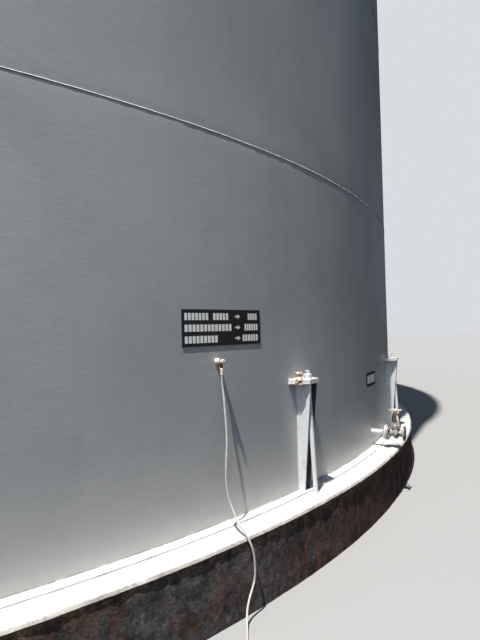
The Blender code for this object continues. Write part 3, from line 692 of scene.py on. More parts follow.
def whole_shell_paint(name, light, dark, streak, roughness):
    """Dull gloss alkyd enamel on steel plate. It has orange peel, short level roller marks, long run-off
    streaks and slow changes of tint, and a pale band just above the foot of the shell: dust, and a painted
    reflection of the whitewashed ledge."""
    material, add, place = new_material(name)
    level = add("ShaderNodeMapping", {"Vector": place, "Scale": (per(62.5), per(62.5), per(14.286))})
    upright = add("ShaderNodeMapping", {"Vector": place, "Scale": (per(166.67), per(166.67), per(3333.3))})
    tint = add(NOISE, (place, per(1111.1), 5.0, 0.55))
    marks = add(NOISE, (level, 1.0, 7.0, 0.55))
    runs = add(NOISE, (upright, 1.0, 5.0, 0.55))
    height = add("ShaderNodeSeparateXYZ", (place,)).outputs["Z"]
    marked = add(MATH, (marks, 0.34, tint), operation="MULTIPLY_ADD")
    paint = add(MIX, (add(RANGE, (marked, 0.54, 0.80)), dark, light), data_type="RGBA")
    streaked = add(MIX, (add(RANGE, (runs, 0.52, 0.78, 0.0, 0.30)), paint, streak), data_type="RGBA")
    # Pale band just above the foot of the shell: dust, and a painted reflection of the whitewashed ledge
    low = add(RANGE, (height, SHELL_FOOT, SHELL_FOOT + 0.55, 0.52, 0.0))
    film = add(MATH, (low, add(RANGE, (runs, 0.30, 0.70, 0.6, 1.0))), operation="MULTIPLY")
    dust_and_painted_reflection = add(MIX, (film, streaked, "C2C2C2"), data_type="RGBA")
    # A thin film of warm dust on what splashes and wind reach
    reach = add(RANGE, (height, 0.7, 2.2, 1.0, 0.0))
    warm = add(MIX, (reach, dust_and_painted_reflection, "FFFCF8"), **MULTIPLIED)
    gloss = add(RANGE, (tint, 0.3, 0.7, roughness + 0.05, roughness - 0.05))
    lanes = add(BUMP, {"Strength": 0.18, "Distance": 0.002, "Height": marks})
    # Orange peel is 2 to 5 mm across, and is drawn at 17 mm so that it shows from three metres
    peel = add(NOISE, (place, per(16.667), 3.0, 0.55))
    bump = add(BUMP, {"Strength": 0.35, "Distance": 0.001, "Height": peel, "Normal": lanes})
    inputs = {"Base Color": warm, "Roughness": gloss, "Normal": bump, "Metallic": 0.0, "IOR": 1.5}
    add("ShaderNodeOutputMaterial", {"Surface": add("ShaderNodeBsdfPrincipled", inputs)})
    return material


def foundation_concrete():
    """Cast concrete: a whitewashed screed with a bare grey mortar edge, over a wall that is dark with damp.
    Rust-brown and black run-off hangs straight down the wall, and brown crust sits under the overhang."""
    material, add, place = new_material("whitewashed_and_stained_concrete")
    along = add("ShaderNodeSeparateXYZ", (place,))
    height = along.outputs["Z"]
    blotches = add(NOISE, (place, per(153.85), 9.0, 0.70))
    patches = add(NOISE, (place, per(434.78), 5.0, 0.6))
    upright = add("ShaderNodeMapping", {"Vector": place, "Scale": (per(66.667), per(66.667), per(769.23))})
    runs = add(NOISE, (upright, 1.0, 7.0, 0.68))
    lumps = add(NOISE, (place, per(33.333), 4.0, 0.7))
    # Coarse sand, drawn at 13 mm so that it shows from three metres
    grain = add(NOISE, (place, per(13.333), 6.0, 0.78))
    bare = add(MIX, (add(RANGE, (blotches, 0.38, 0.62)), "282626", "5F5D5E"), data_type="RGBA")
    streaks = add(MATH, (runs, blotches), operation="ADD")
    brown = add(MIX, (add(RANGE, (streaks, 0.84, 1.20)), "33241B", "69493A"), data_type="RGBA")
    # The brown run-off is thickest on both sides of the earthing point
    drain_side = add(RANGE, (along.outputs["X"], 1.60, 3.20, 0.0, 0.26))
    other_side = add(RANGE, (along.outputs["X"], 1.15, 0.80, 0.0, 0.14))
    far_brown = add(MATH, (patches, drain_side), operation="ADD")
    near_brown = add(MATH, (runs, 0.8, other_side), operation="MULTIPLY_ADD")
    stained = add(MATH, (far_brown, near_brown), operation="ADD")
    wall = add(MIX, (add(RANGE, (stained, 0.86, 1.12)), bare, brown), data_type="RGBA")
    fall = add(RANGE, (height, FOUNDATION_TOP - 0.44, FOUNDATION_TOP - 0.03, 0.05, 0.42))
    soot = add(MATH, (add(RANGE, (runs, 0.50, 0.34)), fall), operation="MULTIPLY")
    soot_and_painted_shade = add(MIX, (soot, wall, "1B1716"), data_type="RGBA")
    near_rim = add(RANGE, (height, FOUNDATION_TOP - 0.10, FOUNDATION_TOP - 0.03))
    crust = add(MATH, (near_rim, add(RANGE, (blotches, 0.42, 0.56, 0.1, 0.9))), operation="MULTIPLY")
    crusted = add(MIX, (crust, soot_and_painted_shade, "776045"), data_type="RGBA")
    lumpy = add(MIX, (1.0, crusted, add(RANGE, (lumps, 0.36, 0.64, 0.50, 1.50))), **MULTIPLIED)
    rough_wall = add(MIX, (1.0, lumpy, add(RANGE, (grain, 0.34, 0.66, 0.35, 1.60))), **MULTIPLIED)
    mortar = add(MIX, (add(RANGE, (blotches, 0.40, 0.60)), "83817D", "B0AEA9"), data_type="RGBA")
    edge = add(MIX, (1.0, mortar, add(RANGE, (grain, 0.36, 0.64, 0.75, 1.15))), **MULTIPLIED)
    screed_foot = FOUNDATION_TOP - SCREED_THICKNESS
    on_edge = add(RANGE, (height, screed_foot - 0.001, screed_foot + 0.001))
    bare_edge = add(MIX, (on_edge, rough_wall, edge), data_type="RGBA")
    ragged = add(MATH, (grain, 0.012, height), operation="MULTIPLY_ADD")
    soil = add(RANGE, (add(NOISE, (place, per(166.67), 7.0, 0.65)), 0.50, 0.70, 0.0, 0.5))
    white = add(MIX, (soil, "B3B5B6", "92918E"), data_type="RGBA")
    on_top = add(RANGE, (ragged, FOUNDATION_TOP - 0.001, FOUNDATION_TOP + 0.001))
    colour = add(MIX, (on_top, bare_edge, white), data_type="RGBA")
    # Trowel waves and sand, deeper than life so that they show from three metres
    trowel = add(NOISE, (place, per(71.429), 5.0, 0.6))
    waves = add(BUMP, {"Strength": 0.5, "Distance": 0.010, "Height": trowel})
    bump = add(BUMP, {"Strength": 0.8, "Distance": 0.005, "Height": grain, "Normal": waves})
    inputs = {"Base Color": colour, "Roughness": 0.92, "Normal": bump, "Metallic": 0.0}
    add("ShaderNodeOutputMaterial", {"Surface": add("ShaderNodeBsdfPrincipled", inputs)})
    return material


def patchy_finish(name, main, other, roughness, size, cover, metallic=0.0):
    """A finish of two colours in patches of a size in millimetres, with gloss that follows them and a fine
    grain. It serves the small painted, rusty and bare metal pieces, which differ in these values."""
    material, add, place = new_material(name)
    patches = add(NOISE, (place, per(size), 6.0, 0.65))
    colour = add(MIX, (add(RANGE, (patches, *cover)), main, other), data_type="RGBA")
    gloss = add(RANGE, (patches, *cover, *roughness))
    # Brush marks and casting grain under 1 mm, drawn at 3 mm so that they show
    grain = add(NOISE, (place, per(3.125), 4.0))
    fine = add(BUMP, {"Strength": 0.3, "Distance": 0.0006, "Height": grain})
    bump = add(BUMP, {"Strength": 0.4, "Distance": 0.0006, "Height": patches, "Normal": fine})
    inputs = {"Base Color": colour, "Roughness": gloss, "Normal": bump, "Metallic": metallic}
    add("ShaderNodeOutputMaterial", {"Surface": add("ShaderNodeBsdfPrincipled", inputs)})
    return material


# Values of patchy_finish for the small pieces, by the name of what each finish is on
PATCHY = {
    # Underside of the weld beads: dirt that rain has left, and painted shade
    "under_bead": ("weld_dirt", "3E4042", "6E7174", (0.80, 0.85), 90.909, (0.45, 0.65)),
    # Whitewash that was brushed over the projecting edge of the floor plate, thin where it is scuffed
    "edge": ("whitewashed_plate", "C4C4C2", "979692", (0.80, 0.60), 166.67, (0.52, 0.8)),
    # Light enamel on the chairs, brushed on by hand, with a little rust bloom
    "chair": ("chair_enamel", "C7C9CC", "A09D97", (0.42, 0.60), 71.429, (0.52, 0.85)),
    # Flame-cut edges of the chairs' top plates, rough under thin paint
    "cut": ("flame_cut_edge", "D6D5D3", "77726C", (0.60, 0.85), 13.333, (0.52, 0.66)),
    # Painted shade inside the chairs: the side plates' inner faces, the strip of shell between them and the
    # shaded end of one
    "soot_and_painted_shade": ("sooty_primer", "4A4847", "2C2A29", (0.80, 0.90), 50, (0.40, 0.70)),
    # Threads and nuts under old paint with a little rust coming through
    "rod": ("painted_threads", "C4C6C6", "4C463F", (0.50, 0.80), 13.333, (0.54, 0.62)),
    # Malleable iron under old cream enamel, with dark rust where it has flaked
    "clamp": ("flaked_cream_enamel", "DCC6B2", "3A2118", (0.62, 0.90), 20.833, (0.49, 0.56)),
    # Plain steel nut with old white paint and brown rust
    "bolt": ("painted_rusty_nut", "DDD2C5", "4E2A16", (0.60, 0.88), 8.3333, (0.50, 0.57)),
    # Bare plate edge, grey with old paint and brown with damp
    "rust": ("scuffed_plate_edge", "8F8B86", "CFCDC9", (0.90, 0.85), 90.909, (0.36, 0.58)),
    # Damp dust along the weld at the foot of the shell, made darker as painted shade in the crease
    "crease_dust_and_painted_shade": ("foot_weld_grime", "757472", "A3A29F", (0.85, 0.80), 142.86, (0.45, 0.62)),
    # Weld and boss touched up with white primer
    "primer": ("white_primer", "E4E3DF", "B5A48F", (0.55, 0.75), 12.5, (0.60, 0.76)),
    # Crimped barrel of a cable lug, painted over in cream
    "tinned": ("painted_lug", "E2D5C6", "A98264", (0.55, 0.75), 16.667, (0.56, 0.72)),
    # Palm of the bolted lug, with rust run down on it from the nut
    "stain": ("rust_stained_lug", "8C5528", "38200F", (0.75, 0.90), 14.286, (0.40, 0.60)),
    # PVC sheath of the conductor, chalky grey
    "sheath": ("grey_pvc_sheath", "B1B1AE", "908E89", (0.50, 0.65), 55.556, (0.45, 0.75)),
    # Black enamelled aluminium plate
    "sign": ("black_enamel_plate", "101113", "1E2023", (0.72, 0.82), 111.11, (0.4, 0.8)),
    # White screen-printed marks
    "mark": ("white_print", "EFEFEE", "C4C5C6", (0.50, 0.60), 16.667, (0.52, 0.80)),
    # Cast iron under thin aluminium paint
    "valve": ("painted_cast_iron", "9A9995", "46372D", (0.50, 0.75), 16.667, (0.49, 0.62)),
    # Bare cast iron that has rusted
    "yoke": ("rusty_cast_iron", "6E4A34", "94704F", (0.85, 0.75), 14.286, (0.44, 0.66)),
    # Bronze of the stem and its nut
    "bronze": ("stem_bronze", "C9A86A", "8E7240", (0.30, 0.45), 12.5, (0.48, 0.72), 1.0),
    # Handwheel with grey enamel worn through to rusty iron where hands turn it
    "wheel": ("worn_wheel_enamel", "B8B6B0", "7A5238", (0.48, 0.80), 26.316, (0.50, 0.62)),
    # Zinc-plated bolts
    "zinc": ("zinc_plated_steel", "B9BBB9", "8B857A", (0.35, 0.55), 11.111, (0.50, 0.74), 0.9),
    # Compressed fibre gasket
    "gasket": ("fibre_gasket", "3B3A38", "565350", (0.80, 0.88), 8.3333, (0.4, 0.7)),
}


def make_finishes():
    """Every finish of the tank, by the name of what it is on."""
    finish = {
        # Alkyd enamel that has weathered to a dull gloss
        "shell": whole_shell_paint("shell_enamel", "ACAFB3", "9EA2A6", "8F9499", 0.40),
        # The same enamel on the roof, more chalked by the sun
        "roof": whole_shell_paint("roof_enamel", "8E9193", "808385", "737678", 0.55),
        # The same enamel, much paler, over the girth welds: a painted highlight on the beads
        "bead": whole_shell_paint("stripe_coat", "E1E3E5", "D6D9DB", "C8CBCD", 0.50),
        "concrete": foundation_concrete(),
    }
    return finish | {name: patchy_finish(*values) for name, values in PATCHY.items()}


def plate_dent(bearing, radius, z):
    """How far the shell stands out of true: slow waves in the plates, drawn in beside every girth weld."""
    if radius < RADIUS - EASE:
        return 0.0
    place = outward(bearing) * RADIUS + UP * z
    wave = noise.noise(place * 0.8) * 0.0016 + noise.noise(place * 2.1) * 0.0006
    drawn = sum(math.exp(-(((z - girth) / 0.032) ** 2)) for girth in GIRTHS)
    return wave - 0.0010 * drawn


def shell_courses(finish):
    """Rings of plate. Rows of points crowd towards the girth welds, where the plates are drawn in."""
    near = (0.0, 0.012, 0.028, 0.050, 0.085, 0.140, 0.240, 0.400)
    for i in range(COURSE_COUNT):
        name = f"shell_course_{i + 1}"
        low, high = (corner.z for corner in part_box(name))
        rows = [high - step for step in near]
        rows += [high - 0.6 - 0.2 * k for k in range(7)]
        rows += [low + step for step in reversed(near)]
        inner = RADIUS - SHELL_LIP
        profile = [(inner, high)] + [(RADIUS, z) for z in rows] + [(inner, low)]
        mesh = ring_mesh(name, profile, SHELL_SEGMENTS, plate_dent)
        add_piece(f"plates_of_course_{i + 1}", mesh, finish["shell"], stands_for=[name])


def shell_welds(tree, finish):
    """Girth welds, staggered uprights, and the fillet between the shell and the floor plate."""
    root = RADIUS - 0.002
    girths = weld_lines("girth_lines", [ring_line(root, z) for z in GIRTHS])
    mesh = made_by(tree, "girth_welds", girths, Width=0.009, Height=0.0045)
    # The lower flank of a bead is darker, with dirt and painted shade; the rest has the painted highlight
    mesh = in_finishes(mesh, (finish["bead"], finish["under_bead"]), lambda face: face.normal.z < -0.35)
    add_piece("girth_welds", mesh, None)
    uprights = []
    for i, (low, high) in enumerate(zip([SHELL_FOOT, *GIRTHS], GIRTHS)):
        for k in range(VERTICALS_PER_COURSE):
            bearing = FIRST_VERTICAL + COURSE_STAGGER * (i % 4) + 360 * k / VERTICALS_PER_COURSE
            foot = outward(bearing) * root
            uprights.append(straight_line(foot + UP * low, foot + UP * high, outward(bearing)))
    lines = weld_lines("upright_lines", uprights)
    mesh = made_by(tree, "upright_welds", lines, Width=0.012, Height=0.0035, Seed=3.0, Finish=finish["shell"])
    add_piece("upright_welds", mesh, None)
    # The fillet weld in the crease at the foot: damp dust, and painted shade
    lines = weld_lines("foot_line", [ring_line(RADIUS - 0.001, SHELL_FOOT, lift=45.0)])
    mesh = made_by(tree, "foot_weld", lines, Width=0.014, Height=0.0055, Seed=7.0, Finish=finish["crease_dust_and_painted_shade"])
    add_piece("foot_weld", mesh, None)


def broken_rim(bearing, radius, z):
    """Wander of the foundation's outline: chips along the screed's edge, and an uneven wall under it."""
    place = outward(bearing) * radius + UP * z
    slow = noise.noise(place * 1.3) * 0.002
    if z < FOUNDATION_TOP - SCREED_THICKNESS - 0.0005:
        return slow + noise.noise(place * 6.0) * 0.0025
    chips = noise.noise(place * 8.0) * 0.004 + noise.noise(place * 31.0) * 0.004
    return slow + min(chips, 0.002) if radius > RADIUS + 0.22 else 0.0


def foundation(finish):
    """Round base: a whitewashed screed on top that stands a little proud of the wall under it."""
    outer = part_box("foundation")[1].x - 0.005
    top = FOUNDATION_TOP
    low = top - SCREED_THICKNESS
    wall = outer - SCREED_OVERHANG
    profile = [(0.0, top), (RADIUS - 0.1, top), (RADIUS + 0.05, top), (RADIUS + 0.11, top - 0.0005)]
    profile += [(RADIUS + 0.17, top), (RADIUS + 0.21, top - 0.001), (outer - 0.017, top - 0.001)]
    profile += [(outer - 0.011, top - 0.004), (outer - 0.002, low + 0.006), (outer, low + 0.003)]
    profile += [(outer - 0.002, low), (wall, low - 0.001), (wall, low - 0.015)]
    profile += [(wall, z) for z in (0.36, 0.30, 0.24, 0.18, 0.12, 0.06, 0.0)]
    profile.append((0.0, 0.0))
    mesh = ring_mesh("foundation_ring", profile, FOUNDATION_SEGMENTS, broken_rim, closed=False)
    add_piece("foundation_ring", mesh, finish["concrete"], stands_for=["foundation"])


def floor_plate(finish):
    """Floor plate of the tank, whose whitewashed rim projects round the shell."""
    low, high = (corner.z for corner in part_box("bottom_plate"))
    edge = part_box("bottom_plate")[1].x
    profile = eased((0.0, high), (RADIUS - 0.1, high), (edge, high, EASE), (edge, low), (0.0, low))
    mesh = turned_mesh("floor_plate", profile, SHELL_SEGMENTS)
    mesh = in_finishes(mesh, (finish["edge"], finish["rust"]), lambda face: face.normal.z < 0.5)
    add_piece("floor_plate", mesh, None, stands_for=["bottom_plate"])


def chair_plates(welds):
    """Top plate, side plates and welds of a chair in its own place: X outwards from the wall."""
    low = CHAIR_PLATE_LOW
    foot = SHELL_FOOT
    reach = CHAIR_PLATE_REACH
    wall_half = CHAIR_PLATE_WALL_WIDTH / 2
    end_half = CHAIR_PLATE_END_WIDTH / 2
    wall_y = GUSSET_WALL_SPREAD / 2
    end_y = GUSSET_END_SPREAD / 2
    plate = [(-0.002, -wall_half), (reach, -end_half), (reach, end_half), (-0.002, wall_half)]
    meshes = [slab_mesh("top_plate", plate, low, CHAIR_PLATE_TOP, 0.0018)]
    # Thin dark strip over the shell between the side plates, which carries painted shade
    strip = [(0.0, foot), (0.0075, foot), (0.0075, low), (0.0, low)]
    half = wall_y - GUSSET_THICKNESS - 0.0005
    meshes.append(slab_mesh("unpainted_strip", strip, -half, half, axis="Y"))
    top_reach = reach - 0.003
    side_plate = [(-0.002, low + 0.001), (top_reach, low + 0.001), (GUSSET_FOOT_REACH, foot), (-0.002, foot)]
    splay = Matrix.Rotation(math.atan2(end_y - wall_y, reach), 4, "Z")
    beside = Matrix.Translation((0, wall_y - GUSSET_THICKNESS, 0)) @ splay
    outer = wall_y + 0.001
    inner = wall_y - GUSSET_THICKNESS - 0.001
    foot_y = wall_y + (end_y - wall_y) * GUSSET_FOOT_REACH / reach
    lines = []
    for side in (-1, 1):
        gusset = moved(slab_mesh("gusset", side_plate, 0.0, GUSSET_THICKNESS, 0.001, axis="Y"), beside)
        if side < 0:
            gusset.transform(Matrix.Scale(-1, 4, (0, 1, 0)))
            gusset.flip_normals()
        meshes.append(gusset)
        for y, way in ((side * outer, side), (side * inner, -side)):
            lines.append(straight_line((0.004, y, foot), (0.004, y, low), (1, way, 0)))
        slant = (0.006, side * wall_y, low), (top_reach, side * end_y, low)
        lines.append(straight_line(*slant, (0, side, -1)))
        floor = (0.006, side * wall_y, foot), (GUSSET_FOOT_REACH, side * foot_y, foot)
        lines.append(straight_line(*floor, (0, side, 1)))
    for z, way in ((CHAIR_PLATE_TOP, 1), (low, -1)):
        lines.append(straight_line((0.004, -wall_half, z), (0.004, wall_half, z), (1, 0, way)))
    lines = weld_lines("chair_lines", lines)
    beads = made_by(welds, "chair_welds", lines, Width=0.010, Height=0.0045, Spacing=0.02)
    return joined_mesh("chair_plates", [*meshes, beads])


def anchor_rod():
    """Anchor rod of a chair with its washer, nut and threaded end."""
    foot = Vector((ROD_FOOT_REACH, 0, FOUNDATION_TOP - 0.02))
    head = Vector((ROD_TOP_REACH, 0, CHAIR_PLATE_TOP))
    length = (head - foot).length
    washer_top = length + WASHER_THICKNESS
    nut_top = washer_top + NUT_HEIGHT
    shank = bar_mesh("shank", (0, 0, 0), (0, 0, nut_top - 0.01), ROD_RADIUS - 0.0004, 20)
    thread = threaded_mesh("thread", ROD_RADIUS, nut_top - 0.004, nut_top + ROD_END, THREAD_PITCH, 20)
    washer = bar_mesh("washer", (0, 0, length - 0.001), (0, 0, washer_top), WASHER_RADIUS, 32, 0.0008)
    nut = hex_mesh("nut", NUT_RADIUS, washer_top, nut_top, 0.003)
    turn = (head - foot).to_track_quat("Z", "Y").to_matrix().to_4x4()
    return moved(joined_mesh("anchor_rod", [shank, thread, washer, nut]), Matrix.Translation(foot) @ turn)


def chair_finish(polygon):
    """Finish of a face of the chairs: 1, painted shade, in the narrow room between two side plates and on the
    shaded end of one of them, 2 on the edge of a top plate, and 0 elsewhere."""
    step = 360 / CHAIR_COUNT
    centre = polygon.center
    bearing = math.degrees(math.atan2(centre.x, -centre.y))
    middle = CHAIR_BEARING + step * round((bearing - CHAIR_BEARING) / step)
    out = centre.dot(outward(middle)) - CHAIR_WALL
    side = centre.dot(outward(middle + 90))
    if centre.z > CHAIR_PLATE_LOW + 0.003 and abs(polygon.normal.z) < 0.5 and out > 0.01:
        return 2
    spread = (GUSSET_WALL_SPREAD + (GUSSET_END_SPREAD - GUSSET_WALL_SPREAD) * out / CHAIR_PLATE_REACH) / 2
    lean = (CHAIR_PLATE_REACH - GUSSET_FOOT_REACH) / (CHAIR_PLATE_LOW - SHELL_FOOT)
    front = GUSSET_FOOT_REACH + lean * (centre.z - SHELL_FOOT)
    # Faces between the side plates and on the shaded end get painted shade
    between_plates = abs(side) < spread - 0.006 and out < front - 0.006
    shaded_end = 0 < side < spread + 0.001 and out > front - 0.006
    return centre.z < CHAIR_PLATE_LOW + 0.001 and (between_plates or shaded_end)


def anchor_chairs(copies, welds, finish):
    """Twenty chairs round the foot of the shell, and their rods."""
    to_wall = Matrix.Translation((CHAIR_WALL, 0, 0))
    first = math.radians(CHAIR_BEARING - 90)
    ring = {"Count": CHAIR_COUNT, "First_angle": first, "Finish": finish["chair"]}
    chairs = [f"anchor_chair_{i + 1:02d}" for i in range(CHAIR_COUNT)]
    plates = made_by(copies, "chair_plates", moved(chair_plates(welds), to_wall), **ring)
    # Second finish: painted shade inside the chairs
    plates = in_finishes(plates, [finish[kind] for kind in ("chair", "soot_and_painted_shade", "cut")], chair_finish)
    add_piece("chair_plates", plates, None, stands_for=chairs)
    rods = made_by(copies, "anchor_rods", moved(anchor_rod(), to_wall), **ring)
    rods = in_finishes(rods, (finish["chair"], finish["rod"]), lambda face: face.center.z > CHAIR_PLATE_TOP)
    add_piece("anchor_rods", rods, None)


def edge_clamp(finish):
    """Screw clamp on the slanting edge of the first chair's top plate."""
    reach = CLAMP_REACH
    back = CLAMP_BACK
    top = CHAIR_PLATE_THICKNESS + GAP
    jaw_top = top + CLAMP_JAW
    outline = [(-reach, jaw_top - 0.004), (-reach + 0.006, jaw_top), (back - 0.006, jaw_top)]
    outline += [(back, jaw_top - 0.007), (back, -CLAMP_JAW + 0.007), (back - 0.006, -CLAMP_JAW)]
    outline += [(-reach + 0.006, -CLAMP_JAW), (-reach, -CLAMP_JAW + 0.004)]
    outline += [(-reach, -GAP), (GAP, -GAP), (GAP, top), (-reach, top)]
    hook = slab_mesh("clamp_hook", outline, -CLAMP_HALF_WIDTH, CLAMP_HALF_WIDTH, 0.002, axis="Y")
    low = jaw_top + CLAMP_HEAD_LOW
    high = jaw_top + CLAMP_HEAD_TOP
    boss = [(0.0, low + 0.003), (0.016, low + 0.003), (0.017, jaw_top + 0.006), (0.021, jaw_top + 0.001)]
    boss += [(0.021, jaw_top - 0.002), (0.0, jaw_top - 0.002)]
    cap = [(0.0, high), (0.012, high - 0.001), (0.020, high - 0.005), (0.024, high - 0.012)]
    cap += [(0.022, low + 0.002), (0.013, low), (0.0, low)]
    parts = [turned_mesh("clamp_boss", boss, 20), turned_mesh("clamp_cap", cap, 24)]
    parts.append(threaded_mesh("clamp_screw", CLAMP_SCREW_RADIUS, jaw_top, low + 0.002, 0.0025))
    for side in (-1, 1):
        ear = (0, side * 0.010, low + 0.011), (0, side * 0.027, low + 0.013)
        parts.append(bar_mesh("clamp_ear", *ear, 0.007, 12, 0.002))
    place = Matrix.Translation((-reach / 2, 0, 0))
    mesh = joined_mesh("edge_clamp", [hook, *(moved(part, place) for part in parts)])
    wall_half = CHAIR_PLATE_WALL_WIDTH / 2
    run = Vector((CHAIR_PLATE_REACH, wall_half - CHAIR_PLATE_END_WIDTH / 2, 0))
    turn = Matrix.Rotation(math.atan2(run.y, run.x) - math.radians(90), 4, "Z")
    on_edge = Matrix.Translation(Vector((0, -wall_half, 0)) + run / 2) @ turn
    moved(mesh, wall_frame(CHAIR_BEARING, CHAIR_PLATE_LOW) @ on_edge)
    add_piece("screw_clamp", mesh, finish["clamp"], stands_for=["edge_clamp"])


def lug_meshes(name):
    """Palm and crimped barrel of a cable lug. The palm's back lies on X = 0, and the barrel points down."""
    half = LUG_WIDTH / 2
    radius = LUG_BARREL_RADIUS
    side = eased((0.0, LUG_OVERHANG), (half, LUG_OVERHANG, 0.006), (half, -LUG_LENGTH + 0.012))[1:]
    side.append((radius, -LUG_LENGTH))
    outline = side + [(-y, z) for y, z in reversed(side)]
    palm = slab_mesh(f"{name}_palm", outline, 0.0, LUG_THICKNESS, 0.0008, axis="X")
    mouth = -LUG_LENGTH - LUG_BARREL_LENGTH
    crimp = radius - 0.0014
    profile = [(0.0, -LUG_LENGTH + 0.004), (radius * 0.8, -LUG_LENGTH + 0.004), (radius, -LUG_LENGTH)]
    for centre in (mouth + 0.024, mouth + 0.011):
        profile += [(radius, centre + 0.004), (crimp, centre + 0.003), (crimp, centre - 0.003)]
        profile += [(radius, centre - 0.004)]
    profile += [(radius, mouth + 0.0006), (radius - 0.0006, mouth), (0.0, mouth)]
    barrel = moved(turned_mesh(f"{name}_barrel", profile, 24), Matrix.Translation((radius, 0, 0)))
    return [palm, barrel]


def earthing_point(finish):
    """Boss welded to the shell, and the lug held on it by a nut on a stud."""
    place = wall_frame(BOSS_BEARING, BOSS_HEIGHT)
    outwards = Matrix.Rotation(math.radians(90), 4, "Y")
    profile = eased(
        (0.0, BOSS_LENGTH),
        (BOSS_RADIUS, BOSS_LENGTH, EASE),
        (BOSS_RADIUS, 0.006),
        (BOSS_RADIUS + 0.002, 0.003),
        (BOSS_RADIUS + 0.005, 0.0005),
        (BOSS_RADIUS + 0.005, -0.002),
        (0.0, -0.002),
    )
    boss = moved(turned_mesh("boss", profile, 32), place @ outwards)
    add_piece("boss_and_weld", boss, finish["primer"], stands_for=["earth_boss"])
    face = place @ Matrix.Translation((BOSS_LENGTH + GAP, 0, 0))
    lug = joined_mesh("bolted_lug", lug_meshes("bolted"))
    palm_low = -LUG_LENGTH * 0.55
    lug = in_finishes(lug, (finish["tinned"], finish["stain"]), lambda face: face.center.z > palm_low)
    add_piece("bolted_lug", moved(lug, face), None, stands_for=["earth_lug"])
    palm = LUG_THICKNESS
    stack = [bar_mesh("lug_washer", (0, 0, palm - 0.0005), (0, 0, palm + 0.0025), 0.0135, 24)]
    stack.append(bar_mesh("spring_washer", (0, 0, palm + 0.0025), (0, 0, palm + 0.006), 0.0105, 24, 0.0004))
    stack.append(hex_mesh("lug_nut", LUG_NUT_RADIUS, palm + 0.006, palm + 0.018, 0.0013))
    stack.append(hex_mesh("lug_lock_nut", LUG_NUT_RADIUS, palm + 0.0185, palm + 0.0285, 0.0013))
    stack.append(threaded_mesh("lug_stud", 0.006, palm + 0.027, palm + 0.037, 0.00175))
    bolt = moved(joined_mesh("lug_bolt", stack), face @ outwards)
    add_piece("lug_bolt", bolt, finish["bolt"])


def earth_cable(finish):
    """The conductor, from the bolted lug down over the ledge to the lug on its other end."""
    start = wall_frame(BOSS_BEARING, BOSS_HEIGHT) @ Vector((BOSS_LENGTH + GAP + LUG_BARREL_RADIUS, 0, 0))
    start.z = BOSS_HEIGHT - LUG_LENGTH - LUG_BARREL_LENGTH - GAP
    points = [start, start - UP * CABLE_LEAD]
    points += [outward(bearing) * (RADIUS + out) + UP * z for bearing, out, z in CABLE_ROUTE]
    route = smooth_route(points, CABLE_SPACING)
    curve = bpy.data.curves.new("earth_conductor", "CURVE")
    curve.dimensions = "3D"
    curve.bevel_depth = CABLE_RADIUS
    curve.bevel_resolution = 4
    curve.use_fill_caps = True
    spline = curve.splines.new("POLY")
    spline.points.add(len(route) - 1)
    for point, place in zip(spline.points, route):
        point.co = (*place, 1.0)
    curve.materials.append(finish["sheath"])
    cable = placed("earth_conductor", curve)
    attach(cable, "tank")
    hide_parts("earth_cable")
    way = (points[-1] - points[-2]).normalized()
    turn = Matrix((UP, way.cross(UP), way)).transposed().to_4x4()
    rest = points[-1] + way * (LUG_LENGTH + LUG_BARREL_LENGTH + GAP) - UP * LUG_BARREL_RADIUS
    hole = bar_mesh("lug_hole", (-0.003, 0, 0), (LUG_THICKNESS + 0.003, 0, 0), LUG_HOLE_RADIUS, 24)
    palm, barrel = lug_meshes("loose")
    lug = joined_mesh("loose_lug", [carved("loose_palm", palm, [hole]), barrel])
    moved(lug, Matrix.Translation(rest) @ turn)
    loose = add_piece("loose_lug", lug, finish["tinned"], stands_for=["end_lug"])


def wall_patch(name, first, last, low, high, inner=SIGN_FACE, outer=PRINT_FACE):
    """Thin slab that follows the shell from one bearing to another, between two distances off it."""
    steps = max(1, math.ceil((last - first) / 0.5))
    bearings = [first + (last - first) * i / steps for i in range(steps + 1)]
    outline = [outward(b) * (RADIUS + inner) for b in bearings]
    outline += [outward(b) * (RADIUS + outer) for b in reversed(bearings)]
    return slab_mesh(name, [(point.x, point.y) for point in outline], low, high)


def arrow_patch(name, first, last, low, high):
    """Printed arrow that points along the shell: a shaft and a head, both following the wall."""
    neck = (first + last) / 2
    middle = (low + high) / 2
    shaft = wall_patch(f"{name}_shaft", first, neck, middle - 0.005, middle + 0.005)
    corners = [(neck, low), (last, middle), (neck, high)]
    rings = [[outward(b) * (RADIUS + off) + UP * z for b, z in corners] for off in (SIGN_FACE, PRINT_FACE)]
    return [shaft, mesh_from(skinned(rings), f"{name}_head")]


def blocks(name, first, last, count, low, high, fill=0.74):
    """A row of plain upright blocks with small spaces, which stands for a line of print."""
    pitch = (last - first) / count
    starts = [first + pitch * i for i in range(count)]
    return [wall_patch(f"{name}_{i}", a, a + pitch * fill, low, high) for i, a in enumerate(starts)]


def add_sign(name, span, marks, finish):
    """A black plate that follows the shell, with white marks on it."""
    low, high = (corner.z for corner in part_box(name))
    plate = wall_patch(f"{name}_plate", *span, low, high, SIGN_BACK, SIGN_FACE)
    add_piece(f"{name}_plate", plate, finish["sign"], stands_for=[name])
    add_piece(f"{name}_marks", joined_mesh(f"{name}_marks", marks), finish["mark"])


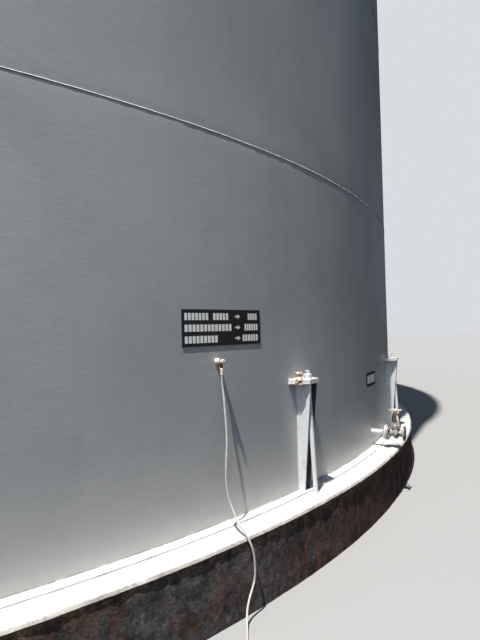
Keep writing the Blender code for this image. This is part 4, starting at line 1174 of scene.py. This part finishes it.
def signs(finish):
    """Two black plates with generic marks: rows of blocks with arrows, and one row of blocks."""
    first, last = EARTH_SIGN_SPAN
    width = last - first
    marks = []
    for i, line in enumerate(PRINT_LINES):
        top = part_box("earth_sign")[1].z - 0.022 - PRINT_PITCH * i
        for k, (start, end, count) in enumerate(line):
            ends = (first + width * start, first + width * end)
            marks += blocks(f"print_{i}_{k}", *ends, count, top - PRINT_HEIGHT, top)
        ends = [first + width * share for share in ARROW_SHARES]
        marks += arrow_patch(f"arrow_{i}", *ends, top - 0.036, top - 0.006)
    add_sign("earth_sign", EARTH_SIGN_SPAN, marks, finish)
    first, last = DRAIN_SIGN_SPAN
    low, high = (corner.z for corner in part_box("drain_sign"))
    marks = blocks("drain_print", first + 0.22, last - 0.12, 5, low + 0.026, high - 0.028, 0.78)
    add_sign("drain_sign", DRAIN_SIGN_SPAN, marks, finish)


def drain_pipe(outwards, finish):
    """Pipe stub with a raised-face flange, and the fillet weld that holds it to the shell."""
    face = NOZZLE_LENGTH
    back = face - FLANGE_THICKNESS
    profile = eased(
        (0.0, face),
        (FLANGE_FACE_RADIUS, face, EASE),
        (FLANGE_FACE_RADIUS, face - FLANGE_STEP),
        (FLANGE_RADIUS, face - FLANGE_STEP, EASE),
        (FLANGE_RADIUS, back, EASE),
        (PIPE_RADIUS + 0.008, back),
        (PIPE_RADIUS + 0.005, back - 0.005),
        (PIPE_RADIUS, back - 0.008),
        (PIPE_RADIUS, 0.010),
        (PIPE_RADIUS + 0.004, 0.006),
        (PIPE_RADIUS + 0.009, 0.001),
        (PIPE_RADIUS + 0.010, -0.002),
        (0.0, -0.002),
    )
    nozzle = moved(turned_mesh("drain_pipe", profile, 48), outwards)
    add_piece("drain_pipe", nozzle, finish["chair"], stands_for=["drain_nozzle"])


def valve_casting(near, outwards, upright, finish):
    """Body of the gate valve: two flanges, a barrel that swells round the seats, and the neck's flange."""
    far = near + VALVE_LENGTH
    middle = (near + far) / 2
    end = VALVE_LENGTH / 2
    back = end - FLANGE_THICKNESS
    seat = VALVE_SEAT_LENGTH / 2
    # From the middle of the seats to the end of a flange, as radius and distance
    half = eased(
        (VALVE_SEAT_RADIUS, seat - 0.011),
        (VALVE_SEAT_RADIUS - 0.002, seat - 0.008),
        (VALVE_BARREL_RADIUS, seat + 0.002),
        (VALVE_BARREL_RADIUS, back - 0.006),
        (VALVE_BARREL_RADIUS + 0.001, back - 0.002),
        (VALVE_BARREL_RADIUS + 0.005, back),
        (FLANGE_RADIUS, back, EASE),
        (FLANGE_RADIUS, end - FLANGE_STEP, EASE),
        (FLANGE_FACE_RADIUS, end - FLANGE_STEP),
        (FLANGE_FACE_RADIUS, end),
    )
    profile = [(0.0, near)] + [(radius, middle - out) for radius, out in reversed(half)]
    profile += [(radius, middle + out) for radius, out in half]
    profile += [(BORE_RADIUS, far), (BORE_RADIUS, far - OUTLET_DEPTH), (0.0, far - OUTLET_DEPTH)]
    ends = (0, 0, middle + back - 0.002), (0, 0, far + 0.002)
    spots = spots_round(BOLT_CIRCLE, 4, 45)
    holes = [moved(bar_mesh("bolt_hole", *ends, BOLT_HOLE_RADIUS, 24), spot) for spot in spots]
    barrel = carved("valve_barrel", turned_mesh("valve_barrel", profile, 64), holes)
    profile = eased(
        (0.0, VALVE_NECK_TOP),
        (BONNET_RADIUS, VALVE_NECK_TOP, EASE),
        (BONNET_RADIUS, VALVE_NECK_TOP - BONNET_FLANGE, EASE),
        (VALVE_NECK_RADIUS, VALVE_NECK_TOP - BONNET_FLANGE, 0.003),
        (VALVE_NECK_RADIUS, VALVE_NECK_FOOT),
        (0.0, VALVE_NECK_FOOT),
    )
    neck = turned_mesh("neck", profile, 48)
    body = joined_mesh("valve_casting", [moved(barrel, outwards), moved(neck, upright)])
    add_piece("valve_casting", body, finish["valve"], stands_for=["valve_body"])


def flange_joint(near, outwards, finish):
    """Gasket between the pipe's flange and the valve's, with the four studs through them and their nuts."""
    face = NOZZLE_LENGTH
    ring = [(FLANGE_FACE_RADIUS + 0.0005, face - 0.0014), (GASKET_RADIUS, face - 0.0014)]
    ring += [(GASKET_RADIUS, near + 0.0014), (FLANGE_FACE_RADIUS + 0.0005, near + 0.0014)]
    gasket = moved(ring_mesh("flange_gasket", ring, 48), outwards)
    add_piece("flange_gasket", gasket, finish["gasket"])
    back = face - FLANGE_THICKNESS
    front = near + FLANGE_THICKNESS
    studs = []
    for spot in spots_round(BOLT_CIRCLE, 4, 45):
        parts = [threaded_mesh("stud", STUD_RADIUS, back - STUD_REACH, front + STUD_REACH, 0.002)]
        parts.append(hex_mesh("stud_nut", STUD_NUT_RADIUS, back - 0.0135, back - 0.0002, 0.0015))
        parts.append(hex_mesh("stud_nut", STUD_NUT_RADIUS, front + 0.0002, front + 0.0135, 0.0015))
        studs += [moved(part, spot) for part in parts]
    bolts = moved(joined_mesh("flange_bolts", studs), outwards)
    add_piece("flange_bolts", bolts, finish["zinc"])


def bonnet(upright, finish):
    """Bonnet with its gland, the bolts that hold it on the neck, and the yoke on its shoulder."""
    top = VALVE_NECK_TOP
    low = top + GAP
    flange = low + BONNET_FLANGE
    dome = eased(
        (0.0, GLAND_TOP),
        (0.009, GLAND_TOP),
        (GLAND_RADIUS - 0.002, GLAND_TOP - 0.001),
        (GLAND_RADIUS, GLAND_TOP - 0.003),
        (GLAND_RADIUS, GLAND_TOP - 0.012),
        (0.014, GLAND_TOP - 0.013),
        (0.014, BONNET_SHOULDER + 0.002),
        (BONNET_SHOULDER_RADIUS - 0.002, BONNET_SHOULDER),
        (BONNET_SHOULDER_RADIUS, BONNET_SHOULDER - 0.003),
        (VALVE_NECK_RADIUS, flange + 0.002),
        (VALVE_NECK_RADIUS + 0.002, flange),
        (BONNET_RADIUS, flange, EASE),
        (BONNET_RADIUS, low),
        (0.0, low),
    )
    mesh = moved(turned_mesh("bonnet", dome, 48), upright)
    add_piece("bonnet", mesh, finish["valve"], stands_for=["valve_bonnet"])
    under = top - BONNET_FLANGE
    caps = []
    for spot in spots_round(BONNET_BOLT_CIRCLE, 4, 45):
        caps.append(moved(hex_mesh("cap_nut", BONNET_BOLT_RADIUS, flange, flange + 0.007, 0.001), spot))
        caps.append(moved(hex_mesh("cap_head", BONNET_BOLT_RADIUS, under - 0.006, under, 0.001), spot))
    bolts = moved(joined_mesh("bonnet_bolts", caps), upright)
    add_piece("bonnet_bolts", bolts, finish["zinc"])
    add_piece("yoke", moved(yoke_mesh(), upright), finish["yoke"])


def yoke_mesh():
    """Two arms bent out from the bonnet's shoulder and in again to a ring that guides the stem."""
    foot = BONNET_SHOULDER_RADIUS - YOKE_THICKNESS
    bow = YOKE_SPREAD / 2
    knee = (BONNET_SHOULDER + YOKE_HEAD_LOW) / 2
    low = YOKE_HEAD_LOW
    high = YOKE_HEAD_TOP
    head = YOKE_HEAD_RADIUS
    inside = head - 0.004
    outline = [(foot + YOKE_THICKNESS, BONNET_SHOULDER - 0.006), (bow + YOKE_THICKNESS, knee - 0.006)]
    outline += [(bow + YOKE_THICKNESS, knee + 0.010), (bow, high - 0.003), (inside, high - 0.003)]
    outline += [(inside, low + 0.003), (bow - YOKE_THICKNESS, low + 0.003), (bow, knee + 0.006)]
    outline += [(bow, knee - 0.004), (foot, BONNET_SHOULDER - 0.006)]
    meshes = []
    for turn in (0.0, math.pi):
        arm = slab_mesh("yoke_arm", outline, -YOKE_WIDTH / 2, YOKE_WIDTH / 2, 0.0015, axis="Y")
        meshes.append(moved(arm, Matrix.Rotation(turn, 4, "Z")))
    hole = STEM_RADIUS + 0.0006
    ring = eased((hole, high), (head, high, EASE), (head, low, EASE), (hole, low))
    return joined_mesh("yoke", [*meshes, ring_mesh("yoke_ring", ring, 32)])


def drain_fittings(finish):
    """Drain pipe with its flange, gate valve, bonnet and yoke, with bolts and gasket."""
    place = wall_frame(DRAIN_BEARING, DRAIN_HEIGHT)
    outwards = place @ Matrix.Rotation(math.radians(90), 4, "Y")
    near = NOZZLE_LENGTH + GAP
    upright = place @ Matrix.Translation((near + VALVE_LENGTH / 2, 0, 0))
    drain_pipe(outwards, finish)
    valve_casting(near, outwards, upright, finish)
    flange_joint(near, outwards, finish)
    bonnet(upright, finish)


def handwheel(finish):
    """Handwheel with its stem, which turn together about the stem's axis."""
    stem_place = Matrix.Translation((NOZZLE_LENGTH + GAP + VALVE_LENGTH / 2, 0, 0))
    place = wall_frame(DRAIN_BEARING, DRAIN_HEIGHT + WHEEL_HEIGHT) @ stem_place
    turns = [-math.tau * i / 14 for i in range(14)]
    rim = [(WHEEL_RADIUS + WHEEL_RIM * math.cos(turn), WHEEL_RIM * math.sin(turn)) for turn in turns]
    low = -WHEEL_DISH - HUB_HEIGHT / 2
    high = -WHEEL_DISH + HUB_HEIGHT / 2
    hub = eased((0.0, high), (HUB_RADIUS, high, 0.002), (HUB_RADIUS, low, 0.002), (0.0, low))
    meshes = [ring_mesh("wheel_rim", rim, 64), turned_mesh("wheel_hub", hub, 32)]
    for i in range(4):
        angle = math.radians(45 + 90 * i)
        way = Vector((math.cos(angle), math.sin(angle), 0))
        inner = way * (HUB_RADIUS * 0.6) - UP * WHEEL_DISH
        meshes.append(bar_mesh("wheel_spoke", inner, way * (WHEEL_RADIUS - 0.002), SPOKE_RADIUS, 12))
    wheel = moved(joined_mesh("cast_wheel", meshes), place)
    add_piece("cast_wheel", wheel, finish["wheel"], "handwheel", ["handwheel"])
    foot = GLAND_TOP + 0.0006 - WHEEL_HEIGHT
    stem = threaded_mesh("valve_stem", STEM_RADIUS, foot, low - 0.0004, 0.003, 20)
    add_piece("valve_stem", moved(stem, place), finish["bronze"], "handwheel")
    nut = hex_mesh("wheel_nut", 0.0105, high, high + 0.007, 0.001)
    tip = threaded_mesh("stem_tip", 0.0055, high, high + 0.010, 0.0018)
    top = moved(joined_mesh("wheel_nut", [nut, tip]), place)
    add_piece("wheel_nut", top, finish["zinc"], "handwheel")


def roof_height(radius):
    """Height of the top of the roof plates at a distance from the axis."""
    return ROOF_PEAK - math.tan(ROOF_SLOPE) * radius


def roof_point(way, radius):
    """Point on top of the roof plates, at a distance from the axis."""
    return way * radius + UP * roof_height(radius)


def curb_and_roof(tree, finish):
    """Curb angle on top of the shell, and the roof plates with their seams."""
    low, high = (corner.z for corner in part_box("curb_angle"))
    out = RADIUS + CURB_LEG - CURB_THICKNESS
    leg_low = high - CURB_THICKNESS
    profile = eased(
        (RADIUS - CURB_THICKNESS, high),
        (out, high, EASE),
        (out, leg_low, EASE),
        (RADIUS, leg_low, 0.005),
        (RADIUS, low),
        (RADIUS - CURB_THICKNESS, low),
    )
    curb = ring_mesh("curb_ring", profile, SHELL_SEGMENTS)
    add_piece("curb_ring", curb, finish["shell"], stands_for=["curb_angle"])
    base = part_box("roof")[0].z
    eaves = ROOF_PEAK - ROOF_RISE
    steps = 24
    profile = [(ROOF_EDGE * i / steps, ROOF_PEAK - ROOF_RISE * i / steps) for i in range(steps)]
    profile += [(ROOF_EDGE - EASE, eaves), (ROOF_EDGE, eaves - EASE)]
    profile += [(ROOF_EDGE, base), (0.0, base + ROOF_RISE)]
    roof = turned_mesh("roof_plates", profile, 360)
    add_piece("roof_plates", roof, finish["roof"], stands_for=["roof"])
    lines = []
    for i in range(ROOF_SEAMS):
        way = outward(360 * (i + 0.5) / ROOF_SEAMS)
        start = ROOF_SEAM_RINGS[i % 2]
        lines.append(straight_line(roof_point(way, start), roof_point(way, ROOF_EDGE - 0.02), UP))
    for radius in ROOF_SEAM_RINGS:
        lines.append(ring_line(radius, roof_height(radius), lift=88.0, count=180))
    lines = weld_lines("seam_lines", lines)
    bead = {"Width": 0.012, "Height": 0.005, "Spacing": 0.05, "Seed": 11.0}
    seams = made_by(tree, "roof_seams", lines, Finish=finish["roof"], **bead)
    add_piece("roof_seams", seams, None)


def roof_vent(finish):
    """Centre vent: pipe with a pad and its weld, and a rain cap on four straps over an insect screen."""
    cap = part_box("roof_vent")[1].x
    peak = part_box("roof_vent")[1].z
    radius = VENT_PIPE_RADIUS
    top = ROOF_PEAK + GAP + VENT_PIPE_HEIGHT
    inner = cap - VENT_SHEET
    profile = [(0.0, peak), (0.06, peak - 0.003), (cap - 0.012, top + 0.003), (cap, top - 0.004)]
    skirt = top - VENT_CAP_SKIRT
    profile += [(cap, skirt), (inner, skirt), (inner, top - 0.005), (0.0, peak - 0.005)]
    foot = roof_height(radius)
    mouth = top - VENT_MOUTH
    pipe = [(radius, mouth), (radius, foot + 0.008), (radius + 0.008, foot), (radius + 0.09, foot - 0.001)]
    pipe += [(radius + 0.09, foot - 0.012), (radius - 0.004, foot - 0.012), (radius - 0.004, mouth)]
    meshes = [turned_mesh("vent_cap", profile, 64), ring_mesh("vent_pipe", pipe, 48)]
    for i in range(4):
        way = outward(45 + 90 * i)
        start = way * (radius + 0.002) + UP * (top - 0.09)
        knee = way * (radius + 0.004) + UP * (top - 0.004)
        meshes.append(bar_mesh("vent_strap", start, knee, 0.006, 10))
    vent = joined_mesh("vent", meshes)
    add_piece("vent_cap_and_pipe", vent, finish["roof"], stands_for=["roof_vent"])
    wire = SCREEN_WIRE_RADIUS
    middle = radius - 0.001
    wires = []
    for i in range(SCREEN_WIRES):
        way = outward(360 * i / SCREEN_WIRES) * middle
        wires.append(bar_mesh("wire", way + UP * (top - 0.032), way + UP * (top - 0.004), wire, 5))
    for i in range(5):
        z = top - 0.029 + 0.006 * i
        ring = [(middle - wire, z), (middle, z + wire), (middle + wire, z), (middle, z - wire)]
        wires.append(ring_mesh("wire_ring", ring, 48))
    add_piece("insect_screen", joined_mesh("insect_screen", wires), finish["zinc"])


def roof_hatch(finish):
    """Manway on the roof with a bolted cover, a gasket and a bent grip."""
    turn = Matrix.Rotation(math.radians(HATCH_BEARING - 90), 4, "Z") @ Matrix.Rotation(ROOF_SLOPE, 4, "Y")
    place = Matrix.Translation(roof_point(outward(HATCH_BEARING), HATCH_DISTANCE)) @ turn
    neck = HATCH_NECK_RADIUS
    inner = neck - 0.008
    flange = HATCH_FLANGE_RADIUS
    low = HATCH_NECK_HEIGHT
    joint = low + HATCH_FLANGE_THICKNESS
    top = joint + HATCH_COVER_THICKNESS
    profile = eased(
        (inner, joint - 0.001),
        (flange, joint - 0.001, EASE),
        (flange, low, EASE),
        (neck, low, 0.006),
        (neck, 0.009),
        (neck + 0.009, 0.006),
        (neck + 0.13, 0.006),
        (neck + 0.132, 0.004),
        (neck + 0.132, -0.004),
        (inner, -0.004),
    )
    cover = eased((0.0, top), (flange, top, 0.0015), (flange, joint + 0.001, EASE), (0.0, joint + 0.001))
    meshes = [ring_mesh("hatch_neck", profile, 72), turned_mesh("hatch_cover", cover, 72)]
    half = HATCH_GRIP_SPAN / 2
    rise = top + HATCH_GRIP_HEIGHT - HATCH_GRIP_ROD / 2
    leg = [(half, top - 0.002), (half, rise - 0.02), (half - 0.006, rise - 0.006), (half - 0.02, rise)]
    bends = [(-y, z) for y, z in leg] + leg[::-1]
    for (a, b), (c, d) in zip(bends, bends[1:]):
        meshes.append(bar_mesh("grip", (0, a, b), (0, c, d), HATCH_GRIP_ROD, 14, 0.0002))
    body = moved(joined_mesh("hatch", meshes), place)
    add_piece("hatch_neck_and_cover", body, finish["roof"], stands_for=["roof_hatch"])
    ring = [(neck + 0.012, joint - 0.001), (flange - 0.003, joint - 0.001)]
    ring += [(flange - 0.003, joint + 0.001), (neck + 0.012, joint + 0.001)]
    gasket = moved(ring_mesh("hatch_gasket", ring, 72), place)
    add_piece("hatch_gasket", gasket, finish["gasket"])
    bolts = []
    for spot in spots_round((neck + flange) / 2 + 0.004, HATCH_BOLTS):
        parts = [hex_mesh("hatch_bolt", HATCH_BOLT_RADIUS, top, top + 0.010, 0.0015)]
        parts.append(hex_mesh("hatch_nut", HATCH_BOLT_RADIUS, low - 0.013, low, 0.0015))
        parts.append(threaded_mesh("hatch_thread", 0.008, low - 0.022, low - 0.010, 0.002, 12))
        bolts += [moved(part, spot) for part in parts]
    add_piece("hatch_bolts", moved(joined_mesh("hatch_bolts", bolts), place), finish["zinc"])


def stage_piece(name, mesh, shader_kind, code):
    """Floor or backdrop. The camera sees it, but it throws no light back on the tank: the dome does that."""
    material, add, _ = new_material(name)
    add("ShaderNodeOutputMaterial", {"Surface": add(shader_kind, {"Color": code})})
    mesh.materials.append(material)
    obj = placed(name, mesh)
    obj.visible_diffuse = False
    obj.visible_glossy = False
    return obj


def dome():
    """Sky that is bright overhead and towards the key, with a paler field behind the tank that its edge
    mirrors."""
    world = bpy.data.worlds.new("dome")
    world.use_nodes = True
    world.node_tree.nodes.clear()
    add = partial(add_node, world.node_tree)
    way = add("ShaderNodeTexCoord").outputs["Generated"]
    height = add("ShaderNodeSeparateXYZ", (way,)).outputs["Z"]
    side = Vector((KEY_DIRECTION[0], KEY_DIRECTION[1], 0)).normalized()
    towards = add("ShaderNodeVectorMath", (way, side), operation="DOT_PRODUCT")
    near = add(RANGE, (towards, -0.35, 0.85))
    bands = [add(MIX, (near, *codes), data_type="RGBA") for codes in (DOME_GROUND, DOME_HORIZON, DOME_TOP)]
    sky = add(MIX, (add(RANGE, (height, 0.25, 1.0)), bands[1], bands[2]), data_type="RGBA")
    over = add(MIX, (add(RANGE, (towards, -0.90, -0.985)), sky, DOME_BEHIND), data_type="RGBA")
    whole = add(MIX, (add(RANGE, (height, -0.04, 0.04)), bands[0], over), data_type="RGBA")
    background = add("ShaderNodeBackground", {"Color": whole, "Strength": DOME_STRENGTH})
    add("ShaderNodeOutputWorld", {"Surface": background})
    bpy.context.scene.world = world


def studio():
    """Pale floor and backdrop, one high key light, and the dome."""
    bm = bmesh.new()
    bmesh.ops.create_circle(bm, cap_ends=True, segments=96, radius=FLOOR_RADIUS)
    floor = stage_piece("floor", mesh_from(bm, "floor"), "ShaderNodeBsdfDiffuse", FLOOR_COLOUR)
    floor.location.z = -0.0005
    rim = FLOOR_RADIUS - 1.0
    wall = ring_mesh("backdrop", [(rim, -0.5), (rim, 80.0), (rim + 0.5, 80.0), (rim + 0.5, -0.5)], 96)
    backdrop = stage_piece("backdrop", wall, "ShaderNodeEmission", BACKDROP_COLOUR)
    backdrop.visible_shadow = False
    key = bpy.data.lights.new("key", "SUN")
    key.energy = KEY_STRENGTH
    key.angle = math.radians(KEY_ANGLE)
    key.color = linear(KEY_COLOUR)[:3]
    lamp = placed("key", key)
    lamp.rotation_euler = Vector(KEY_DIRECTION).to_track_quat("Z", "Y").to_euler()
    dome()
    bpy.context.scene.view_settings.view_transform = "Standard"


def build():
    """The camera and the cord first, then every piece from the shell to the roof, and the studio."""
    photo_camera()
    finish = make_finishes()
    welds = weld_tree()
    copies = copies_tree()
    earth_cable(finish)
    shell_courses(finish)
    shell_welds(welds, finish)
    foundation(finish)
    floor_plate(finish)
    anchor_chairs(copies, welds, finish)
    edge_clamp(finish)
    earthing_point(finish)
    signs(finish)
    drain_fittings(finish)
    handwheel(finish)
    curb_and_roof(welds, finish)
    roof_vent(finish)
    roof_hatch(finish)
    studio()


build()
